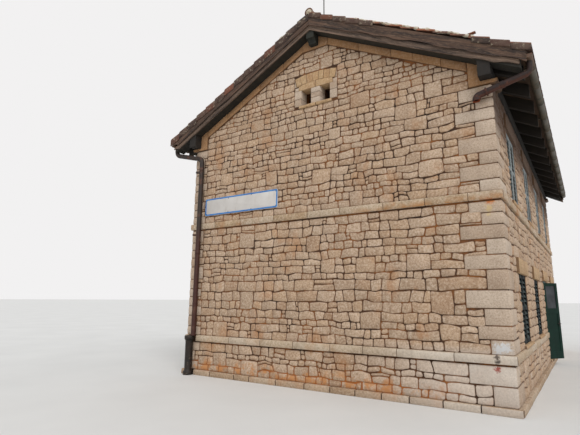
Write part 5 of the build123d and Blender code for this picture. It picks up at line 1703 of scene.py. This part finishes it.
class STATION_OT_verges(bpy.types.Operator):
    """Beds the verge tiles in lumps of lime mortar and closes the ends of the ridge"""

    bl_idname = "station.verges"
    bl_label = "Verge mortar"

    def execute(self, context):
        rng = np.random.default_rng(context.scene.station_roof.seed + 90)
        mortar, slipped, verge = Shell(), Shell(), Shell()
        for facing, side, start, end in LUMPS:
            x = np.arange(start, end, 0.035)
            depth = TILE_BASE + TILE_NOSE - 0.012 + 0.006 * ripple(x[:, None], 0.5, 4)
            y = facing * (VERGE - 0.026) + rng.normal(0, 0.003, len(x))
            radii = 0.021 + 0.006 * ripple(x[:, None], 0.2, 8) + rng.uniform(0, 0.007, len(x))
            radii[[0, -1]] = 0.006
            tube(mortar, world(side * x, y, slope_z(x, depth)), radii, 9, 0.005)
        crown = RIDGE_TOP - corners("ridge_tiles")[1][0]
        for facing in (-1, 1):
            route = world(0, facing * (VERGE - np.array((0.06, 0.022, 0.01, 0.004))), crown)
            tube(mortar, route, (0.09, 0.09, 0.08, 0.04), 22, 0.004)
        mortar.piece("verge_mortar", "lime mortar", "clay_tile")

        # The side of each verge tile hangs over the board
        def hung(u, v, d):
            along = np.abs(u)
            depth = TILE_CREST - 0.008 + TILE_STEP / TILE_GAUGE * (along - start) + v
            return world(-facing * u, facing * (VERGE + d), slope_z(along, depth))

        for facing, side in ((-1, -1), (-1, 1), (1, -1), (1, 1)):
            seen = facing < 0 < side
            for course in range(TILE_COURSES):
                if seen and course in LOST_COURSES:
                    continue
                start = course * TILE_GAUGE
                low, high = sorted(-facing * side * np.array((max(start, 0.01), start + TILE_GAUGE - 0.004)))
                tall = 0.1 if seen else rng.uniform(0.14, 0.165)
                box = ((low, -tall, -0.012), (high, 0.0, rng.uniform(0.01, 0.016)))
                bars(verge, rng, [box], hung, 0)
        # The hanging sides are darkened as painted shade
        verge.piece("verge_tiles", "verge tile in painted shade", "clay_tile")

        # A broken tile has slid down and stands against the next nose
        def leaning(u, v, d):
            across = foot[0] + u * np.cos(tilt) + d * np.sin(tilt)
            return world(across, foot[1] + v, foot[2] + u * np.sin(tilt) - d * np.cos(tilt))

        for x, tilt, length in SLIPPED:
            foot = (x, -VERGE + 0.12, slope_z(x, TILE_BASE + 0.075))
            bars(slipped, rng, [((0, -0.05, -0.01), (length * 0.55, 0.08, 0.01))], leaning, 0)
            bars(slipped, rng, [((length * 0.4, -0.05, -0.01), (length, 0.03, 0.012))], leaning, 0, 0.005)
        slipped.piece("slipped_tile", "clay tile", "clay_tile")
        return {"FINISHED"}


GUTTER_JOINTS = 14
JOINT_LINES = np.array((-0.024, -0.02, 0.02, 0.024))
JOINT_LIFT = (0.0, 0.0045, 0.0045, 0.0)


class STATION_OT_gutters(bpy.types.Operator):
    """Rolls the half-round gutters with their joint rings and closed ends"""

    bl_idname = "station.gutters"
    bl_label = "Gutters"

    def execute(self, context):
        shell = Shell()
        low, high = corners("gutters")
        rng = np.random.default_rng(context.scene.station_roof.seed + 120)
        rings = np.linspace(low[1] + 0.5, high[1] - 0.5, GUTTER_JOINTS)
        y = np.concatenate(([low[1]], (rings[:, None] + JOINT_LINES).ravel(), [high[1]]))
        lift = np.concatenate(([0.0], np.tile(JOINT_LIFT, GUTTER_JOINTS), [0.0]))
        # Clockwise from the outer lip, under the bottom, and back along the inside
        turn = np.linspace(0, np.pi, 15)
        angle = np.concatenate((turn, turn[::-1]))
        outer = GUTTER_RADIUS + lift[:, None] + np.zeros(len(turn))
        radius = np.concatenate((outer, np.full_like(outer, GUTTER_RADIUS - GUTTER_SHELL)), axis=1)
        disc = GUTTER_RADIUS - GUTTER_SHELL / 2
        for side in (1, -1):
            middle = side * GUTTER_X
            sag = 0.004 * ripple(y[:, None], 2.6, 3 + side)
            x = middle + radius * np.cos(angle)
            z = high[2] - radius * np.sin(angle) + sag[:, None]
            x += 0.003 * ripple(np.stack(np.broadcast_arrays(y[:, None], z), axis=-1), 0.9, 6)
            shell.add(world(x, y[:, None], z), ring_faces(len(y), len(angle)), rng.uniform(), 1.0)
            for stops in ((low[1], low[1] + GUTTER_SHELL), (high[1] - GUTTER_SHELL, high[1])):
                points = world(middle + disc * np.cos(turn), np.array(stops)[:, None],
                               high[2] - disc * np.sin(turn))
                shell.add(points, ring_faces(2, len(turn)), rng.uniform(), 1.0)
        shell.piece("rolled_gutters", "gutter metal", "gutter_metal", ("gutters",))
        return {"FINISHED"}


# Levels of the whole pipe's collars, and the outline of a collar
COLLARS = (5.22, 3.0)
COLLAR_LINES = np.array((0.05, 0.046, -0.046, -0.05))
COLLAR_SWELL = np.array((0.001, 0.005, 0.005, 0.001))
# A sleeve and a flange on the broken pipe: share of its raking run, length, size as a share of the
# pipe's radius, and how far the middle swells
SLEEVES = ((0.5, 0.07, 0.95, 0.008), (0.86, 0.03, 1.12, 0.014))
# Height over the boot's foot, and radius beyond the rim's or the stem's, up the cast boot
BOOT_RIMS = (
    ((0.0, -0.012), (0.012, 0.0), (0.078, 0.0), (0.092, -0.01)),
    ((0.1, 0.006), (0.13, 0.0), (0.46, -0.002), (0.8, 0.0), (0.83, 0.006)),
    ((0.838, -0.01), (0.85, 0.0), (0.915, 0.0), (0.93, -0.01), (0.935, -0.03)),
)
BOOT_STEM = -0.03


class STATION_OT_pipes(bpy.types.Operator):
    """Bends the downpipe and the broken pipe, and turns the cast boot with its collars"""

    bl_idname = "station.pipes"
    bl_label = "Downpipes"

    def execute(self, context):
        whole, broken, boot = Shell(), Shell(), Shell()
        neck = OUTLET_TOP - NECK_TOP
        bend = OUTLET_TOP - NECK_BOTTOM
        boot_low, boot_high = corners("drain_boot")
        route = rounded_route([
            (-GUTTER_X, OUTLET_Y, OUTLET_TOP), (-GUTTER_X, OUTLET_Y, neck),
            (-PIPE_X, PIPE_Y, bend), (-PIPE_X, PIPE_Y, boot_high[2]),
        ], 0.15)
        tube(whole, route, PIPE_RADIUS, 24)
        for z in COLLARS:
            tube(whole, world(-PIPE_X, PIPE_Y, z + COLLAR_LINES), PIPE_RADIUS + COLLAR_SWELL, 24)
        whole.piece("bent_downpipe", "painted pipe", "pipe_metal", ("downpipe",))

        mouth = corners("broken_pipe")[0][2]
        route = rounded_route([
            (GUTTER_X, OUTLET_Y, OUTLET_TOP), (GUTTER_X, OUTLET_Y, neck),
            (PIPE_X + 0.06, PIPE_Y, bend + 0.045), (PIPE_X + 0.07, PIPE_Y, mouth + 0.04),
        ], 0.1)
        share = np.linspace(0, 1, len(route))
        radii = PIPE_RADIUS * (0.78 + 0.34 * soft_step((share - 0.3) / 0.4))
        tube(broken, route, radii, 24, 0.002, 0.05)
        start, end = route[ARC_STEPS:ARC_STEPS + 2]
        way = (end - start) / np.linalg.norm(end - start)
        for at, length, size, swell in SLEEVES:
            stops = np.array((-1, -0.9, 0.9, 1))[:, None] * length / 2
            radii = PIPE_RADIUS * size + swell * np.array((0.2, 1, 1, 0.2))
            tube(broken, start + (end - start) * at + stops * way, radii, 24, 0.002)
        broken.piece("broken_downpipe", "rusty pipe", "pipe_metal", ("broken_pipe",))

        rim = (boot_high[0] - boot_low[0]) / 2
        profile = np.array([
            (height, radius + beyond)
            for radius, rings in zip((rim, rim + BOOT_STEM, rim), BOOT_RIMS) for height, beyond in rings
        ])
        centre = (boot_low + boot_high) / 2
        tube(boot, world(centre[0], centre[1], profile[:, 0]), profile[:, 1], 32, 0.002)
        boot.piece("cast_boot", "cast iron", "iron", ("drain_boot",))
        return {"FINISHED"}


MIDDLE_RAIL = 0.06


def leaf_bars(low, high, sill, head, back, front):
    """Boxes of a shutter leaf's two stiles, and of its three rails, which are let into them."""
    stiles = [((u, sill, back), (u + SHUTTER_STILE, head, front)) for u in (low, high - SHUTTER_STILE)]
    middle = sill + 0.5 * (head - sill)
    left, right = low + SHUTTER_STILE - 0.002, high - SHUTTER_STILE + 0.002
    rails = [
        ((left, v, back + 0.002), (right, v + tall, front - 0.002))
        for v, tall in ((sill, SHUTTER_RAIL), (middle - MIDDLE_RAIL / 2, MIDDLE_RAIL),
                        (head - SHUTTER_RAIL, SHUTTER_RAIL))
    ]
    return stiles, rails


class STATION_OT_shutters(bpy.types.Operator):
    """Joins the louvred shutters of both storeys"""

    bl_idname = "station.shutters"
    bl_label = "Louvred shutters"

    def execute(self, context):
        sizes = context.scene.station_joinery
        half, gap, back = WINDOW_WIDTH / 2, SHUTTER_JOINT / 2, -SHUTTER_THICKNESS
        for storey, bays, (sill, head) in STOREYS:
            shell = Shell()
            rng = np.random.default_rng(len(bays))
            middle = sill + 0.5 * (head - sill)
            fields = (
                (sill + SHUTTER_RAIL, middle - MIDDLE_RAIL / 2),
                (middle + MIDDLE_RAIL / 2, head - SHUTTER_RAIL),
            )
            leaves = [
                (partial(on_face, side), low + sign * centre + 0.001, high + sign * centre - 0.001)
                for side, sign in (("right", 1), ("left", -1))
                for centre in bays for low, high in ((-half, -gap), (gap, half))
            ]
            for place, low, high in leaves:
                front = rng.uniform(-0.002, 0.0)
                stiles, rails = leaf_bars(low, high, sill, head, back, front)
                bars(shell, rng, stiles, place, 1)
                bars(shell, rng, rails, place, 0)
                left, right = low + SHUTTER_STILE - 0.004, high - SHUTTER_STILE + 0.004
                for start, end in fields:
                    count = round((end - start) / sizes.slat_pitch)
                    steps = start + (np.arange(count) + 0.08) * (end - start) / count
                    slats(shell, rng, left, right, steps, place, -0.007, back + 0.007,
                          sizes.slat_rise, sizes.slat_thickness)
            shell.piece(f"{storey}_louvres", f"{storey} shutter paint", f"{storey}_shutter_paint",
                        (f"{storey}_shutters",))
        return {"FINISHED"}


BOARD_ROUND = 0.024
# The painted border's ring: inset from the board's edge and height over its face
BORDER_RING = ((0.003, -0.001), (0.041, -0.001), (0.0395, 0.0012), (0.0045, 0.0012))
BORDER_ROUND = 0.044
SCREW_INSET = 0.05
# Height of a screw's head over the board's face and its radius there
SCREW_HEAD = np.array(((-0.002, 0.011), (0.0015, 0.011), (0.003, 0.008), (0.0035, 0.003)))


class STATION_OT_board(bpy.types.Operator):
    """Cuts the bare name board with its painted border and screws"""

    bl_idname = "station.board"
    bl_label = "Name board"

    def execute(self, context):
        rng = np.random.default_rng(3)
        plate, border, screws = Shell(), Shell(), Shell()
        place = partial(on_face, "front")
        low, high = corners("name_board")
        back, face = FRONT - high[1], FRONT - low[1]
        a, b = low[[0, 2]], high[[0, 2]]
        slab(plate, rng, rounded_outline(a, b, BOARD_ROUND), place, back, face, 0.003, 0.0)
        plate.piece("enamelled_board", "board enamel", "board_enamel", ("name_board",))
        ring = np.stack([
            rounded_outline(a + inset, b - inset, BORDER_ROUND - inset) for inset, _ in BORDER_RING
        ], axis=1)
        depth = np.broadcast_to([face + height for _, height in BORDER_RING], ring.shape[:2])
        border.add(place(ring[..., 0], ring[..., 1], depth), closed_ring_faces(*ring.shape[:2]), 0.5, 1.0)
        border.piece("board_border", "board border paint", "board_enamel")
        for u in np.linspace(a[0] + SCREW_INSET, b[0] - SCREW_INSET, 4):
            for v in (a[1] + SCREW_INSET, b[1] - SCREW_INSET):
                route = place(np.full(4, u), np.full(4, v), face + SCREW_HEAD[:, 0])
                tube(screws, route, SCREW_HEAD[:, 1], 12)
        screws.piece("board_screws", "cast iron", "iron")
        return {"FINISHED"}


CAD_FINISHES = {
    "earth mortar": ("front_gable_wall", "rear_gable_wall", "right_wall_near", "right_wall_far",
                     "right_wall_upper", "left_wall_lower", "left_wall_upper"),
    "footing stone": ("ground_floor",),
    "floor boards": ("upper_floor", "attic_floor", "roof_boards", "battens"),
    "soffit boards": ("verge_soffits",),
    "rafter timber": ("rafters",),
    "plate timber": ("wall_plates",),
    "ridge beam paint": ("ridge_beam",),
    "gutter metal": ("gutter_brackets",),
    "painted pipe": ("pipe_clamps",),
    "cast iron": ("hinge_pins", "leaf_knuckles", "door_handle"),
    "rod steel": ("ridge_rod",),
    "door paint": ("moving_leaf", "fixed_leaves"),
    "frame paint": ("door_frames", "window_frames", "board_battens"),
    "dusty glass": ("moving_leaf_pane", "fixed_leaf_panes", "window_panes"),
}


class STATION_OT_finishes(bpy.types.Operator):
    """Gives every node that stays its finish"""

    bl_idname = "station.finishes"
    bl_label = "Finishes"

    def execute(self, context):
        for material, names in CAD_FINISHES.items():
            for name in names:
                node = frame["nodes"][name]
                node.data.materials.clear()
                node.data.materials.append(finish(material))
        return {"FINISHED"}


FLOOR_REACH = 400.0
SUN_ANGLE = 35
SUN_TURN = (50, 0, 44)
SKY_TINT = (0.93, 0.96, 1.0, 1)
BACKDROP = (242, 241, 241)
# The camera fitted to the photo: turn, upward tilt and roll in degrees, and the shift of its centre
CAMERA_TURN = (32.81, 11.49, 0.4)
CAMERA_SHIFT = (-0.0152, -0.0150)


def sky_world(strength):
    """An even sky that camera, mirror and glass rays see as the plain backdrop."""
    made = bpy.data.worlds.new("soft sky")
    made.use_nodes = True
    tree = made.node_tree
    sky = tree.nodes["Background"]
    sky.inputs["Color"].default_value = SKY_TINT
    sky.inputs["Strength"].default_value = strength
    shown = tree.nodes.new("ShaderNodeBackground")
    shown.inputs["Color"].default_value = linear(BACKDROP)
    shown.inputs["Strength"].default_value = 1.0
    rays = tree.nodes.new("ShaderNodeLightPath")
    mix = tree.nodes.new("ShaderNodeMixShader")
    share = rays.outputs["Is Camera Ray"]
    for kind in ("Is Glossy Ray", "Is Transmission Ray"):
        either = tree.nodes.new("ShaderNodeMath")
        either.operation = "MAXIMUM"
        tree.links.new(rays.outputs[kind], either.inputs[0])
        tree.links.new(share, either.inputs[1])
        share = either.outputs[0]
    for socket, value in enumerate((share, sky.outputs[0], shown.outputs[0])):
        tree.links.new(value, mix.inputs[socket])
    tree.links.new(mix.outputs[0], tree.nodes["World Output"].inputs["Surface"])
    return made


def photo_camera(sizes):
    """The photo's camera; its axes are those of a level view turned by yaw, pitch and roll."""
    lens = bpy.data.cameras.new("photo view")
    lens.lens = sizes.lens
    lens.sensor_width = 36
    lens.shift_x, lens.shift_y = CAMERA_SHIFT
    lens.clip_end = 1500
    yaw, pitch, roll = np.radians(CAMERA_TURN)
    forward = np.array((-np.sin(yaw) * np.cos(pitch), np.cos(yaw) * np.cos(pitch), np.sin(pitch)))
    right = np.array((np.cos(yaw), np.sin(yaw), 0))
    upward = np.cross(right, forward)
    axes = (
        right * np.cos(roll) + upward * np.sin(roll),
        upward * np.cos(roll) - right * np.sin(roll),
        -forward,
    )
    turned = Matrix([axis.tolist() for axis in axes]).transposed().to_4x4()
    turned.translation = sizes.eye
    camera = bpy.data.objects.new("photo view", lens)
    camera.matrix_world = turned
    return camera


class STATION_OT_stage(bpy.types.Operator):
    """Sets the floor, the soft light and the camera"""

    bl_idname = "station.stage"
    bl_label = "Floor, light and camera"

    def execute(self, context):
        scene, sizes = context.scene, context.scene.station_stage
        mesh = bpy.data.meshes.new("studio_floor")
        square = [(x * FLOOR_REACH, y * FLOOR_REACH, 0) for x, y in ((-1, -1), (1, -1), (1, 1), (-1, 1))]
        mesh.from_pydata(square, [], [(0, 1, 2, 3)])
        mesh.materials.append(finish("pale studio floor"))
        floor = bpy.data.objects.new("studio_floor", mesh)
        scene.collection.objects.link(floor)
        light = bpy.data.lights.new("soft sun", "SUN")
        light.energy = sizes.sun
        light.angle = np.radians(SUN_ANGLE)
        sun = bpy.data.objects.new("soft sun", light)
        sun.rotation_euler = np.radians(SUN_TURN)
        scene.collection.objects.link(sun)
        scene.world = sky_world(sizes.sky)
        scene.camera = photo_camera(sizes)
        scene.collection.objects.link(scene.camera)
        scene.view_settings.view_transform = "Standard"
        return {"FINISHED"}


GROUPS = {
    "station_stones": StationStones,
    "station_roof": StationRoof,
    "station_joinery": StationJoinery,
    "station_stage": StationStage,
}
OPERATORS = (
    STATION_OT_walls,
    STATION_OT_bands,
    STATION_OT_lintels,
    STATION_OT_vents,
    STATION_OT_copings,
    STATION_OT_tiles,
    STATION_OT_ridge,
    STATION_OT_bargeboards,
    STATION_OT_verges,
    STATION_OT_gutters,
    STATION_OT_pipes,
    STATION_OT_shutters,
    STATION_OT_board,
    STATION_OT_finishes,
    STATION_OT_stage,
)


class STATION_PT_tools(bpy.types.Panel):
    """Lists the sizes and the steps in the 3D view's sidebar"""

    bl_idname = "STATION_PT_tools"
    bl_label = "Stone station building"
    bl_space_type = "VIEW_3D"
    bl_region_type = "UI"
    bl_category = "Station"

    def draw(self, context):
        for name, group in GROUPS.items():
            box = self.layout.box()
            for key in group.__annotations__:
                box.prop(getattr(context.scene, name), key)
        for operator in OPERATORS:
            self.layout.operator(operator.bl_idname)


def register():
    for item in (*GROUPS.values(), *OPERATORS, STATION_PT_tools):
        bpy.utils.register_class(item)
    for name, group in GROUPS.items():
        setattr(bpy.types.Scene, name, PointerProperty(type=group))


def unregister():
    for name in GROUPS:
        delattr(bpy.types.Scene, name)
    for item in reversed((*GROUPS.values(), *OPERATORS, STATION_PT_tools)):
        bpy.utils.unregister_class(item)


def main():
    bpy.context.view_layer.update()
    register()
    for operator in OPERATORS:
        group, name = operator.bl_idname.split(".")
        getattr(getattr(bpy.ops, group), name)()


if __name__ == "__main__":
    main()
